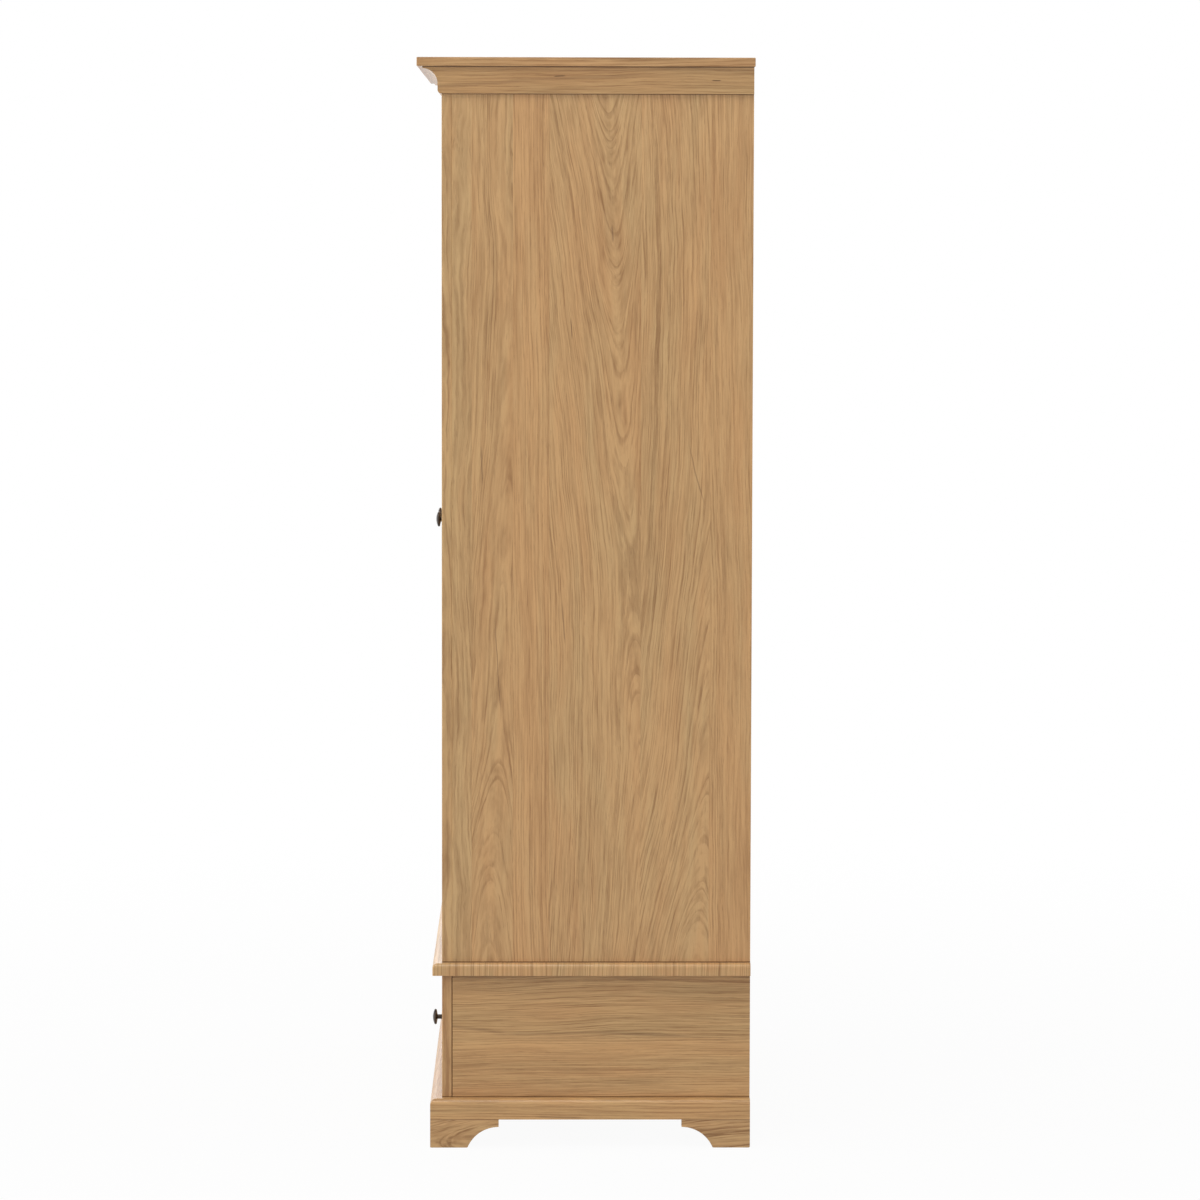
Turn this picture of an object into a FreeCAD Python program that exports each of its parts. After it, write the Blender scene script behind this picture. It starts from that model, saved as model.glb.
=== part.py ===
import FreeCAD
import Part

import math
import os

from FreeCAD import Vector

# An oak wardrobe: two framed doors above one wide drawer, a waist board between them,
# a plinth on bracket feet below and a coved cornice under a flat top board.
# Millimetres. X runs to the right as seen from the front, the front faces -Y, Z is up.
# The origin is on the floor, at the middle of the width and of the top board's depth.

# Carcass
carcass_width = 1058.0
carcass_depth = 554.0
base_height = 223.0
upper_height = 1553.0
panel_thickness = 18.0
back_thickness = 6.0
back_recess = 2.0
back_rebate = 8.0
back_clearance = 0.5
dust_board_thickness = 6.0

# Face frame, in front of the carcass
frame_thickness = 18.0
frame_stile_width = 45.0
centre_stile_width = 45.0
frame_top_rail_height = 45.0
frame_edge_round = 1.5
base_joint_bevel = 1.0
upper_joint_bevel = 0.4

# Cornice: a lip, a hollow and a crown, with the top board above
cove_lip_height = 17.5
cove_lip_proud = 7.0
cove_lip_round = 6.5
cove_radius = 27.0
cove_crown_height = 3.5
frieze_proud = 6.0
cornice_rail_thickness = 18.0
slab_thickness = 16.0
slab_front_overhang = 10.0
slab_side_overhang = 6.0
slab_back_overhang = 2.0
slab_edge_round = 1.5

# Waist board
waist_thickness = 22.0
waist_overhang = 17.0
waist_edge_round = 8.0
waist_corner_round = 3.0

# Plinth frame
plinth_height = 37.0
plinth_overhang = 21.0
plinth_rail_width = 50.0
plinth_edge_round = 10.0

# Bracket feet
foot_height = 51.0
foot_length = 123.0
foot_toe = 67.0
foot_step = 13.5
foot_thickness = 24.0
foot_corner_round = 2.5
foot_block_size = 40.0
foot_block_lift = 2.0

# Doors, set a little behind the front of the frame
door_thickness = 20.0
door_set_back = 1.2
door_gap = 2.5
door_floor_gap = 3.0
door_stile_width = 74.0
door_rail_height = 74.0
door_bottom_rail_height = 100.0
door_lower_panel_height = 400.0
door_edge_round = 1.5
moulding_size = 7.0
moulding_quirk = 1.2
groove_set_back = 8.0
groove_width = 6.4
groove_depth = 10.0
tongue_clearance = 0.2
panel_edge_clearance = 1.0
field_margin = 3.0
field_bevel = 30.0
field_rise = 3.0
field_step = 1.2

# Butt hinges, with the knuckle let in at the front of the frame
hinge_length = 70.0
hinge_knuckles = 5
hinge_inset = 150.0
knuckle_radius = 2.2
knuckle_room = 0.35
knuckle_gap = 0.2
hinge_pin_radius = 1.1
hinge_pin_clearance = 0.05
leaf_thickness = 1.8
leaf_margin = 1.0

# Door catches and their strike plates
catch_height = 46.0
catch_reach = 14.0
catch_thickness = 12.0
catch_gap = 0.5
catch_inset = 70.0
strike_radius = 5.0
strike_thickness = 1.5

# Knobs
knob_reach = 21.0
knob_head_radius = 14.2
knob_rim_thickness = 4.8
knob_dome_rise = 2.4
knob_head_taper = 1.5
knob_stem_radius = 4.2
knob_base_radius = 8.5
knob_base_thickness = 2.0
door_knob_height = 766.0
drawer_knob_distance = 320.0

# Drawer
drawer_gap = 2.5
drawer_front_thickness = 20.0
drawer_front_clearance = 1.0
drawer_front_round = 2.5
drawer_side_thickness = 12.0
drawer_side_drop = 18.0
drawer_back_drop = 6.0
drawer_back_space = 28.0
drawer_bottom_thickness = 6.0
drawer_bottom_lift = 8.0
drawer_groove_depth = 6.0
drawer_groove_clearance = 0.2
drawer_bottom_clearance = 0.5
dovetail_count = 4
dovetail_lap = 8.0
dovetail_share = 0.5
dovetail_slope = 1.0 / 7.0

# Drawer runners
runner_ledge_width = 16.0
runner_ledge_height = 6.2
runner_guide_height = 36.0
runner_clearance = 0.3
runner_side_clearance = 0.5

# Hanging rail
rail_radius = 12.5
rail_wall = 1.5
rail_drop = 108.0
rail_clearance = 0.1
rail_end_clearance = 0.5
socket_wall = 3.4
socket_depth = 11.5
socket_flange_radius = 22.0
socket_flange_thickness = 4.0

# Heights, from the floor up
base_bottom = foot_height + plinth_height
waist_bottom = base_bottom + base_height
upper_bottom = waist_bottom + waist_thickness
cornice_bottom = upper_bottom + upper_height
cove_bottom = cornice_bottom + cove_lip_height
cove_top = cove_bottom + cove_radius
slab_bottom = cove_top + cove_crown_height
slab_top = slab_bottom + slab_thickness
frame_opening_top = cornice_bottom - frame_top_rail_height
inner_top = cornice_bottom - panel_thickness
dust_board_top = base_bottom + dust_board_thickness

# Widths, from the middle out
half_width = carcass_width / 2
inner_half = half_width - panel_thickness
opening_half = half_width - frame_stile_width
rebate_half = inner_half + back_rebate
frieze_half = half_width + frieze_proud
slab_half = frieze_half + slab_side_overhang
waist_half = half_width + waist_overhang
plinth_half = half_width + plinth_overhang

# Depths, from the front back
crown_reach = cove_lip_proud + cove_radius
slab_reach = crown_reach + slab_front_overhang
slab_front = -(slab_reach + carcass_depth + slab_back_overhang) / 2
front = slab_front + slab_reach
back = front + carcass_depth
slab_back = back + slab_back_overhang
frame_back = front + frame_thickness
back_panel_rear = back - back_recess
back_panel_front = back_panel_rear - back_thickness
waist_front = front - waist_overhang
plinth_front = front - plinth_overhang

# The right door's place; the left door is its mirror image
door_near = centre_stile_width / 2 + door_gap
door_far = opening_half - door_gap
door_bottom = upper_bottom + door_floor_gap
door_top = frame_opening_top - door_gap
door_front = front + door_set_back
door_back = door_front + door_thickness
door_inner_near = door_near + door_stile_width
door_inner_far = door_far - door_stile_width
groove_front = door_front + groove_set_back
groove_back = groove_front + groove_width
lower_panel_bottom = door_bottom + door_bottom_rail_height
lower_panel_top = lower_panel_bottom + door_lower_panel_height
upper_panel_bottom = lower_panel_top + door_rail_height
upper_panel_top = door_top - door_rail_height

# The right door's hinge line
hinge_x = opening_half - door_gap / 2
hinge_y = door_front
knuckle_clear_radius = knuckle_radius + knuckle_room
leaf_width = frame_thickness - door_set_back - leaf_margin

# The drawer's place
drawer_half = opening_half - drawer_gap
drawer_inner_half = drawer_half - drawer_side_thickness
drawer_front_back = front + drawer_front_thickness
drawer_rear = back_panel_front - drawer_back_space
drawer_front_bottom = base_bottom + drawer_gap
drawer_front_top = waist_bottom - drawer_gap
base_floor_front = max(frame_back, drawer_front_back + drawer_front_clearance)
runner_top = dust_board_top + runner_ledge_height
drawer_side_bottom = runner_top + runner_clearance
drawer_side_top = drawer_front_top - drawer_side_drop
drawer_bottom_low = drawer_side_bottom + drawer_bottom_lift
drawer_bottom_high = drawer_bottom_low + drawer_bottom_thickness

# The hanging rail's line, at the middle of the inner depth
rail_y = (door_back + back_panel_front) / 2
rail_z = inner_top - rail_drop

RIGHT = Vector(1, 0, 0)
REAR = Vector(0, 1, 0)
UP = Vector(0, 0, 1)
DIAGONAL = math.sqrt(0.5)
TOUCH = 0.01
SPARE = 1.0


def box(x, y, z):
    """A box from its low and high X, Y and Z."""
    return Part.makeBox(x[1] - x[0], y[1] - y[0], z[1] - z[0], Vector(x[0], y[0], z[0]))


def mirrored(shape):
    """The same piece on the other side of the wardrobe."""
    return shape.mirror(Vector(0, 0, 0), RIGHT)


def line(start, end):
    """A straight edge."""
    return Part.LineSegment(start, end).toShape()


def arc(start, middle, end):
    """A round edge through three points."""
    return Part.Arc(start, middle, end).toShape()


def swept(edges, reach):
    """A closed outline pushed along a straight line."""
    return Part.Face(Part.Wire(edges)).extrude(reach)


def polygon(points, reach):
    """A polygon pushed along a straight line."""
    return Part.Face(Part.makePolygon(points + points[:1])).extrude(reach)


def edges_at(shape, x=None, y=None, z=None):
    """The edges that lie wholly at the given X, Y or Z."""
    def lies(edge):
        span = edge.BoundBox
        sides = ((x, span.XMin, span.XMax), (y, span.YMin, span.YMax), (z, span.ZMin, span.ZMax))
        return all(
            place is None or (abs(low - place) < TOUCH and abs(high - place) < TOUCH)
            for place, low, high in sides
        )
    return [edge for edge in shape.Edges if lies(edge)]


def foot_bracket(corner, along, across):
    """A bracket of a foot, from its outer corner: a step below the plinth and a hollow down to the toe."""
    def at(reach, height):
        return corner + along * reach + UP * height

    hollow = foot_height - foot_step
    run = foot_length - foot_toe
    radius = (run ** 2 + hollow ** 2) / (2 * hollow)
    half_turn = math.atan2(run, radius - hollow) / 2
    halfway = at(
        foot_length - radius * math.sin(half_turn),
        hollow - radius + radius * math.cos(half_turn),
    )
    outline = [
        line(at(0, 0), at(foot_toe, 0)),
        arc(at(foot_toe, 0), halfway, at(foot_length, hollow)),
        line(at(foot_length, hollow), at(foot_length, foot_height)),
        line(at(foot_length, foot_height), at(0, foot_height)),
        line(at(0, foot_height), at(0, 0)),
    ]
    solid = swept(outline, across * foot_thickness)

    def crosses(edge):
        return abs(edge.tangentAt(edge.FirstParameter).dot(across)) > 1 - TOUCH

    toes = [edge for edge in edges_at(solid, z=0) if crosses(edge)]
    return solid.makeFillet(foot_corner_round, toes)


def mitred_bracket(corner, along, across):
    """A bracket with its corner end cut to a mitre."""
    inner = corner + (along + across) * foot_thickness
    waste = polygon([corner, inner, corner + across * foot_thickness], UP * foot_height)
    return foot_bracket(corner, along, across).cut(waste)


def foot_block(rear_face):
    """The glue block inside a right foot, between the side bracket and a face at the given Y."""
    inside = plinth_half - foot_thickness
    return box(
        (inside - foot_block_size, inside),
        (rear_face - foot_block_size, rear_face),
        (foot_block_lift, foot_height),
    )


def front_foot():
    """The front right foot: two brackets mitred at the corner, and the block behind them."""
    corner = Vector(plinth_half, plinth_front, 0)
    side = mitred_bracket(corner, REAR, -RIGHT)
    face = mitred_bracket(corner, -RIGHT, REAR)
    block = foot_block(plinth_front + foot_thickness + foot_block_size)
    return Part.makeCompound([side, face, block])


def rear_foot():
    """The rear right foot: a side bracket and its block, flush with the back."""
    side = foot_bracket(Vector(plinth_half, back, 0), -REAR, -RIGHT)
    return Part.makeCompound([side, foot_block(back)])


def plinth():
    """The plinth frame in its four rails, mitred at the front, with a round top edge on three sides."""
    inside = plinth_half - plinth_rail_width
    inside_front = plinth_front + plinth_rail_width
    inside_back = back - plinth_rail_width
    height = (foot_height, base_bottom)
    frame = box((-plinth_half, plinth_half), (plinth_front, back), height)
    edges = edges_at(frame, y=plinth_front, z=base_bottom)
    edges += edges_at(frame, x=plinth_half, z=base_bottom)
    edges += edges_at(frame, x=-plinth_half, z=base_bottom)
    frame = frame.makeFillet(plinth_edge_round, edges)
    frame = frame.cut(box((-inside, inside), (inside_front, inside_back), height))
    up = UP * plinth_height
    front_zone = polygon(
        [
            Vector(-plinth_half, plinth_front, foot_height),
            Vector(plinth_half, plinth_front, foot_height),
            Vector(inside, inside_front, foot_height),
            Vector(-inside, inside_front, foot_height),
        ],
        up,
    )
    right_zone = polygon(
        [
            Vector(plinth_half, plinth_front, foot_height),
            Vector(plinth_half, back, foot_height),
            Vector(inside, back, foot_height),
            Vector(inside, inside_front, foot_height),
        ],
        up,
    )
    right_rail = frame.common(right_zone)
    return {
        "plinth_front_rail": frame.common(front_zone),
        "plinth_right_rail": right_rail,
        "plinth_left_rail": mirrored(right_rail),
        "plinth_back_rail": box((-inside, inside), (inside_back, back), height),
    }


def side_panel(height, joint_bevel):
    """A right side panel, rebated for the back and bevelled where it meets the stile."""
    panel = box((inner_half, half_width), (frame_back, back), height)
    panel = panel.cut(box((inner_half, rebate_half), (back_panel_front, back), height))
    return panel.makeChamfer(joint_bevel, edges_at(panel, x=half_width, y=frame_back))


def back_panel(height):
    """A back panel that fills the rebates of the two sides."""
    reach = rebate_half - back_clearance
    return box((-reach, reach), (back_panel_front, back_panel_rear), height)


def frame_stile(height, joint_bevel):
    """A right stile of the face frame, with round front edges."""
    stile = box((opening_half, half_width), (front, frame_back), height)
    stile = stile.makeChamfer(joint_bevel, edges_at(stile, x=half_width, y=frame_back))
    edges = edges_at(stile, x=half_width, y=front) + edges_at(stile, x=opening_half, y=front)
    return stile.makeFillet(frame_edge_round, edges)


def centre_stile():
    """The stile between the doors, with round front edges."""
    half = centre_stile_width / 2
    stile = box((-half, half), (front, frame_back), (upper_bottom, frame_opening_top))
    edges = edges_at(stile, x=half, y=front) + edges_at(stile, x=-half, y=front)
    return stile.makeFillet(frame_edge_round, edges)


def hinge_heights():
    """The low and high Z of each hinge on a door."""
    middles = (door_bottom + hinge_inset, (door_bottom + door_top) / 2, door_top - hinge_inset)
    return [(middle - hinge_length / 2, middle + hinge_length / 2) for middle in middles]


def leaf_span(side):
    """The low and high X of a hinge leaf: side 1 is on the frame, side -1 on the door."""
    near = hinge_x + side * door_gap / 2
    far = near + side * leaf_thickness
    return min(near, far), max(near, far)


def hinge_mortise(side, height):
    """What a hinge takes out of the wood on one side of the gap."""
    leaf = box(leaf_span(side), (hinge_y, hinge_y + leaf_width), height)
    low = Vector(hinge_x, hinge_y, height[0] - knuckle_gap)
    return leaf.fuse(Part.makeCylinder(knuckle_clear_radius, hinge_length + 2 * knuckle_gap, low))


def upper_stile():
    """The right stile beside a door, with a notch open to the front at each knuckle."""
    stile = frame_stile((upper_bottom, cornice_bottom), upper_joint_bevel)
    notch_end = max(hinge_x + knuckle_clear_radius, leaf_span(1)[1])
    for low, high in hinge_heights():
        notch = box(
            (opening_half - SPARE, notch_end),
            (front - SPARE, hinge_y),
            (low - knuckle_gap, high + knuckle_gap),
        )
        stile = stile.cut(notch).cut(hinge_mortise(1, (low, high)))
    return stile


def hinge_leaf(side, height):
    """A hinge leaf with its knuckles: the frame leaf has the end knuckles, the door leaf those between."""
    flat = (hinge_y + knuckle_clear_radius, hinge_y + leaf_width)
    leaf = box(leaf_span(side), flat, height)
    pitch = hinge_length / hinge_knuckles
    first = 0 if side > 0 else 1
    for index in range(first, hinge_knuckles, 2):
        low = height[0] + index * pitch + knuckle_gap / 2
        tall = pitch - knuckle_gap
        barrel = Part.makeCylinder(knuckle_radius, tall, Vector(hinge_x, hinge_y, low))
        tab = box(leaf_span(side), (hinge_y, flat[0]), (low, low + tall))
        leaf = leaf.fuse(barrel).fuse(tab)
    bore = Part.makeCylinder(
        hinge_pin_radius + hinge_pin_clearance, hinge_length, Vector(hinge_x, hinge_y, height[0])
    )
    return leaf.cut(bore).removeSplitter()


def hinge_leaves(side):
    """The leaves on one side of the right door's gap."""
    return [hinge_leaf(side, height) for height in hinge_heights()]


def hinge_pins():
    """The pins of the right door's hinges."""
    return [
        Part.makeCylinder(hinge_pin_radius, high - low, Vector(hinge_x, hinge_y, low))
        for low, high in hinge_heights()
    ]


def cove_front(x):
    """The cornice's front outline at the given X: from under the lip up to the crown's top."""
    lip = front - cove_lip_proud
    crown = lip - cove_radius
    slant = cove_radius * DIAGONAL
    eased = cove_lip_round * (1 - DIAGONAL)
    under = Vector(x, lip + cove_lip_round, cornice_bottom)
    foot = Vector(x, lip, cornice_bottom + cove_lip_round)
    start = Vector(x, lip, cove_bottom)
    end = Vector(x, crown, cove_top)
    return [
        arc(under, Vector(x, lip + eased, cornice_bottom + eased), foot),
        line(foot, start),
        arc(start, Vector(x, crown + slant, cove_bottom + slant), end),
        line(end, Vector(x, crown, slab_bottom)),
    ]


def cornice_board(x, rear):
    """A cornice board between two X places, coved in front and square at the rear."""
    crown = front - crown_reach
    under = front - cove_lip_proud + cove_lip_round
    start = x[0]
    edges = cove_front(start)
    edges.append(line(Vector(start, crown, slab_bottom), Vector(start, rear, slab_bottom)))
    edges.append(line(Vector(start, rear, slab_bottom), Vector(start, rear, cornice_bottom)))
    edges.append(line(Vector(start, rear, cornice_bottom), Vector(start, under, cornice_bottom)))
    return swept(edges, RIGHT * (x[1] - x[0]))


def top_board():
    """The flat board over the cornice, its edges eased."""
    board = box((-slab_half, slab_half), (slab_front, slab_back), (slab_bottom, slab_top))
    return board.makeFillet(slab_edge_round, board.Edges)


def waist_board():
    """The board between base and upper part, its top edge rounded at the front and the ends."""
    board = box((-waist_half, waist_half), (waist_front, back), (waist_bottom, upper_bottom))
    corners = edges_at(board, x=waist_half, y=waist_front) + edges_at(board, x=-waist_half, y=waist_front)
    board = board.makeFillet(waist_corner_round, corners)
    top = [edge for edge in edges_at(board, z=upper_bottom) if edge.BoundBox.YMin < back - TOUCH]
    return board.makeFillet(waist_edge_round, top)


def moulding_waste(edge, inward, low, high, upright):
    """What the moulding takes off an inner front edge of a door member.

    edge is the edge's X on an upright member and its Z on a rail, inward is 1 or -1 towards the wood,
    and the waste runs from low to high along the member.
    """
    def at(across, depth):
        place = edge + inward * across
        if upright:
            return Vector(place, door_front + depth, low)
        return Vector(low, door_front + depth, place)

    radius = moulding_size - moulding_quirk
    slant = moulding_size - radius * DIAGONAL
    top = at(moulding_size, moulding_quirk)
    foot = at(moulding_quirk, moulding_size)
    edges = [
        line(at(0, 0), at(moulding_size, 0)),
        line(at(moulding_size, 0), top),
        arc(top, at(slant, slant), foot),
        line(foot, at(0, moulding_size)),
        line(at(0, moulding_size), at(0, 0)),
    ]
    return swept(edges, (UP if upright else RIGHT) * (high - low))


def door_stile(x, inner, inward):
    """A door stile before its groove: its outer front edges round, its inner front edge moulded."""
    outer = x[0] if inner == x[1] else x[1]
    stile = box(x, (door_front, door_back), (door_bottom, door_top))
    stile = stile.makeFillet(door_edge_round, edges_at(stile, x=outer, y=door_front))
    return stile.cut(moulding_waste(inner, inward, door_bottom, door_top, True))


def stile_groove(inner, inward):
    """The panel groove along a stile's inner edge."""
    bottom = inner + inward * groove_depth
    return box(
        (min(inner, bottom), max(inner, bottom)), (groove_front, groove_back), (door_bottom, door_top)
    )


def door_rail(z, stiles, panel_below, panel_above):
    """A door rail, coped over the stiles' mouldings, with stub tenons that fill the stiles' grooves."""
    low, high = z
    opening = (door_inner_near, door_inner_far)
    reach = (door_inner_near - moulding_size, door_inner_far + moulding_size)
    rail = box(reach, (door_front, door_back), z)
    tenon_low = low
    tenon_high = high
    if panel_below:
        rail = rail.cut(moulding_waste(low, 1, reach[0], reach[1], False))
        tenon_low = low + groove_depth
        rail = rail.cut(box(opening, (groove_front, groove_back), (low, tenon_low)))
    if panel_above:
        rail = rail.cut(moulding_waste(high, -1, reach[0], reach[1], False))
        tenon_high = high - groove_depth
        rail = rail.cut(box(opening, (groove_front, groove_back), (tenon_high, high)))
    for stile in stiles:
        rail = rail.cut(stile)
    tenon_depth = groove_depth - panel_edge_clearance
    tenon = box(
        (door_inner_near - tenon_depth, door_inner_far + tenon_depth),
        (groove_front + tongue_clearance, groove_back - tongue_clearance),
        (tenon_low, tenon_high),
    )
    return rail.fuse(tenon).removeSplitter()


def rectangle(x, y, z):
    """A closed rectangle facing the front at the given Y."""
    corners = [(x[0], z[0]), (x[1], z[0]), (x[1], z[1]), (x[0], z[1]), (x[0], z[0])]
    return Part.makePolygon([Vector(across, y, up) for across, up in corners])


def door_panel(z):
    """A fielded panel: a tongue in the grooves, a bevel all round and a raised flat field."""
    spread = groove_depth - panel_edge_clearance
    tongue_front = groove_front + tongue_clearance
    tongue = box(
        (door_inner_near - spread, door_inner_far + spread),
        (tongue_front, groove_back - tongue_clearance),
        (z[0] - spread, z[1] + spread),
    )
    inset = field_margin + field_bevel
    foot_x = (door_inner_near + field_margin, door_inner_far - field_margin)
    foot_z = (z[0] + field_margin, z[1] - field_margin)
    field_x = (door_inner_near + inset, door_inner_far - inset)
    field_z = (z[0] + inset, z[1] - inset)
    shoulder = tongue_front - field_rise
    bevel = Part.makeLoft(
        [rectangle(foot_x, tongue_front, foot_z), rectangle(field_x, shoulder, field_z)], True, True
    )
    field = box(field_x, (shoulder - field_step, shoulder), field_z)
    return tongue.fuse(bevel).fuse(field).removeSplitter()


def strike_heights():
    """The Z of the middle of each catch and strike plate."""
    return door_bottom + catch_inset, door_top - catch_inset


def strike(height):
    """A round plate let into the back of the right door's meeting stile."""
    middle = Vector(door_near + catch_reach / 2, door_back - strike_thickness, height)
    return Part.makeCylinder(strike_radius, strike_thickness, middle, REAR)


def door_catch(height):
    """A catch behind the centre stile that also stops both doors."""
    z = (height - catch_height / 2, height + catch_height / 2)
    stop = door_back + catch_gap
    reach = door_near + catch_reach
    neck = box((-centre_stile_width / 2, centre_stile_width / 2), (frame_back, stop), z)
    wings = box((-reach, reach), (stop, stop + catch_thickness), z)
    return neck.fuse(wings).removeSplitter()


def knob(x, surface, z):
    """A mushroom knob turned about Y, standing on a surface that faces the front."""
    def at(reach, radius):
        return Vector(x + radius, surface - reach, z)

    flare = knob_base_radius - knob_stem_radius
    neck_reach = knob_base_thickness + flare
    flare_slant = flare * DIAGONAL
    rim_front = knob_reach - knob_dome_rise
    rim_back = rim_front - knob_rim_thickness
    dome_half = knob_head_radius - knob_rim_thickness / 2
    dome_radius = (dome_half ** 2 + knob_dome_rise ** 2) / (2 * knob_dome_rise)
    half_turn = math.asin(dome_half / dome_radius) / 2
    brow = at(knob_reach - dome_radius * (1 - math.cos(half_turn)), dome_radius * math.sin(half_turn))
    stops = [
        at(0, 0),
        at(0, knob_base_radius),
        at(knob_base_thickness, knob_base_radius),
        at(neck_reach, knob_stem_radius),
        at(rim_back - knob_head_taper, knob_stem_radius),
        at(rim_back, dome_half),
        at(rim_front, dome_half),
        at(knob_reach, 0),
    ]
    edges = [
        line(stops[0], stops[1]),
        line(stops[1], stops[2]),
        arc(stops[2], at(neck_reach - flare_slant, knob_base_radius - flare_slant), stops[3]),
        line(stops[3], stops[4]),
        line(stops[4], stops[5]),
        arc(stops[5], at((rim_back + rim_front) / 2, knob_head_radius), stops[6]),
        arc(stops[6], brow, stops[7]),
        line(stops[7], stops[0]),
    ]
    return Part.Face(Part.Wire(edges)).revolve(stops[0], REAR, 360)


def right_door():
    """The right door's pieces by name, without the door's own name."""
    hinge_side = door_stile((door_inner_far, door_far), door_inner_far, 1)
    meeting_side = door_stile((door_near, door_inner_near), door_inner_near, -1)
    stiles = (hinge_side, meeting_side)
    rails = {
        "top_rail": door_rail((upper_panel_top, door_top), stiles, True, False),
        "mid_rail": door_rail((lower_panel_top, upper_panel_bottom), stiles, True, True),
        "bottom_rail": door_rail((door_bottom, lower_panel_bottom), stiles, False, True),
    }
    hinge_side = hinge_side.cut(stile_groove(door_inner_far, 1))
    meeting_side = meeting_side.cut(stile_groove(door_inner_near, -1))
    for height in hinge_heights():
        hinge_side = hinge_side.cut(hinge_mortise(-1, height))
    strikes = [strike(height) for height in strike_heights()]
    for plate in strikes:
        meeting_side = meeting_side.cut(plate)
    pieces = {
        "hinge_stile": hinge_side,
        "meeting_stile": meeting_side,
        "upper_panel": door_panel((upper_panel_bottom, upper_panel_top)),
        "lower_panel": door_panel((lower_panel_bottom, lower_panel_top)),
        "hinge_leaves": Part.makeCompound(hinge_leaves(-1)),
        "strikes": Part.makeCompound(strikes),
        "knob": knob((door_near + door_inner_near) / 2, door_front, door_bottom + door_knob_height),
    }
    pieces.update(rails)
    return pieces


def dovetails():
    """The tails on the front end of the drawer's right side, wider at the tip than at the root."""
    length = drawer_front_thickness - dovetail_lap
    tip = front + dovetail_lap
    pitch = (drawer_side_top - drawer_side_bottom) / dovetail_count
    tails = []
    for index in range(dovetail_count):
        middle = drawer_side_bottom + (index + 0.5) * pitch
        root_half = pitch * dovetail_share / 2
        tip_half = root_half + length * dovetail_slope
        corners = [
            Vector(drawer_inner_half, drawer_front_back, middle - root_half),
            Vector(drawer_inner_half, tip, middle - tip_half),
            Vector(drawer_inner_half, tip, middle + tip_half),
            Vector(drawer_inner_half, drawer_front_back, middle + root_half),
        ]
        tails.append(polygon(corners, RIGHT * drawer_side_thickness))
    return tails


def drawer():
    """The drawer: a flush front dovetailed to two sides, a back and a bottom in grooves."""
    tails = dovetails()
    groove_height = (drawer_bottom_low, drawer_bottom_high + drawer_groove_clearance)
    groove_half = drawer_inner_half + drawer_groove_depth
    face = box(
        (-drawer_half, drawer_half), (front, drawer_front_back), (drawer_front_bottom, drawer_front_top)
    )
    face = face.makeFillet(drawer_front_round, edges_at(face, y=front))
    for tail in tails:
        face = face.cut(tail).cut(mirrored(tail))
    face_groove = (drawer_front_back - drawer_groove_depth, drawer_front_back)
    face = face.cut(box((-drawer_inner_half, drawer_inner_half), face_groove, groove_height))
    side = box(
        (drawer_inner_half, drawer_half),
        (drawer_front_back, drawer_rear),
        (drawer_side_bottom, drawer_side_top),
    )
    side = side.cut(box((drawer_inner_half, groove_half), (drawer_front_back, drawer_rear), groove_height))
    for tail in tails:
        side = side.fuse(tail)
    side = side.removeSplitter()
    rear = box(
        (-drawer_inner_half, drawer_inner_half),
        (drawer_rear - drawer_side_thickness, drawer_rear),
        (groove_height[1], drawer_side_top - drawer_back_drop),
    )
    bottom_half = groove_half - drawer_bottom_clearance
    tongue_half = drawer_inner_half - drawer_bottom_clearance
    bottom_height = (drawer_bottom_low, drawer_bottom_high)
    tongue = box(
        (-tongue_half, tongue_half),
        (face_groove[0] + drawer_bottom_clearance, drawer_front_back),
        bottom_height,
    )
    bottom_board = box((-bottom_half, bottom_half), (drawer_front_back, drawer_rear), bottom_height)
    bottom_board = bottom_board.fuse(tongue).removeSplitter()
    knob_height = (drawer_front_bottom + drawer_front_top) / 2
    knobs = [knob(side_of * drawer_knob_distance, front, knob_height) for side_of in (-1, 1)]
    return {
        "drawer_front": face,
        "drawer_right_side": side,
        "drawer_left_side": mirrored(side),
        "drawer_back": rear,
        "drawer_bottom": bottom_board,
        "drawer_knobs": Part.makeCompound(knobs),
    }


def drawer_runner():
    """The right runner: a ledge under the drawer's side, a guide beside it and a stop behind it."""
    length = (base_floor_front, back_panel_front)
    ledge_inside = drawer_half - runner_ledge_width
    guide_top = dust_board_top + runner_guide_height
    ledge = box((ledge_inside, inner_half), length, (dust_board_top, runner_top))
    guide = box((drawer_half + runner_side_clearance, inner_half), length, (dust_board_top, guide_top))
    stop = box(
        (ledge_inside, inner_half),
        (drawer_rear + runner_clearance, back_panel_front),
        (dust_board_top, guide_top),
    )
    return ledge.fuse(guide).fuse(stop).removeSplitter()


def hanging_rail():
    """The tube that clothes hang on, held at its ends by the two sockets."""
    reach = inner_half - socket_flange_thickness - rail_end_clearance
    end = Vector(-reach, rail_y, rail_z)
    tube = Part.makeCylinder(rail_radius, 2 * reach, end, RIGHT)
    return tube.cut(Part.makeCylinder(rail_radius - rail_wall, 2 * reach, end, RIGHT))


def rail_socket():
    """The right socket: a flange on the side panel and a cup that holds the rail's end."""
    bore_radius = rail_radius + rail_clearance
    cup_depth = socket_depth + socket_flange_thickness
    mouth = Vector(inner_half - cup_depth, rail_y, rail_z)
    face = Vector(inner_half - socket_flange_thickness, rail_y, rail_z)
    cup = Part.makeCylinder(bore_radius + socket_wall, cup_depth, mouth, RIGHT)
    flange = Part.makeCylinder(socket_flange_radius, socket_flange_thickness, face, RIGHT)
    bore = Part.makeCylinder(bore_radius, socket_depth, mouth, RIGHT)
    return cup.fuse(flange).cut(bore).removeSplitter()


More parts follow.
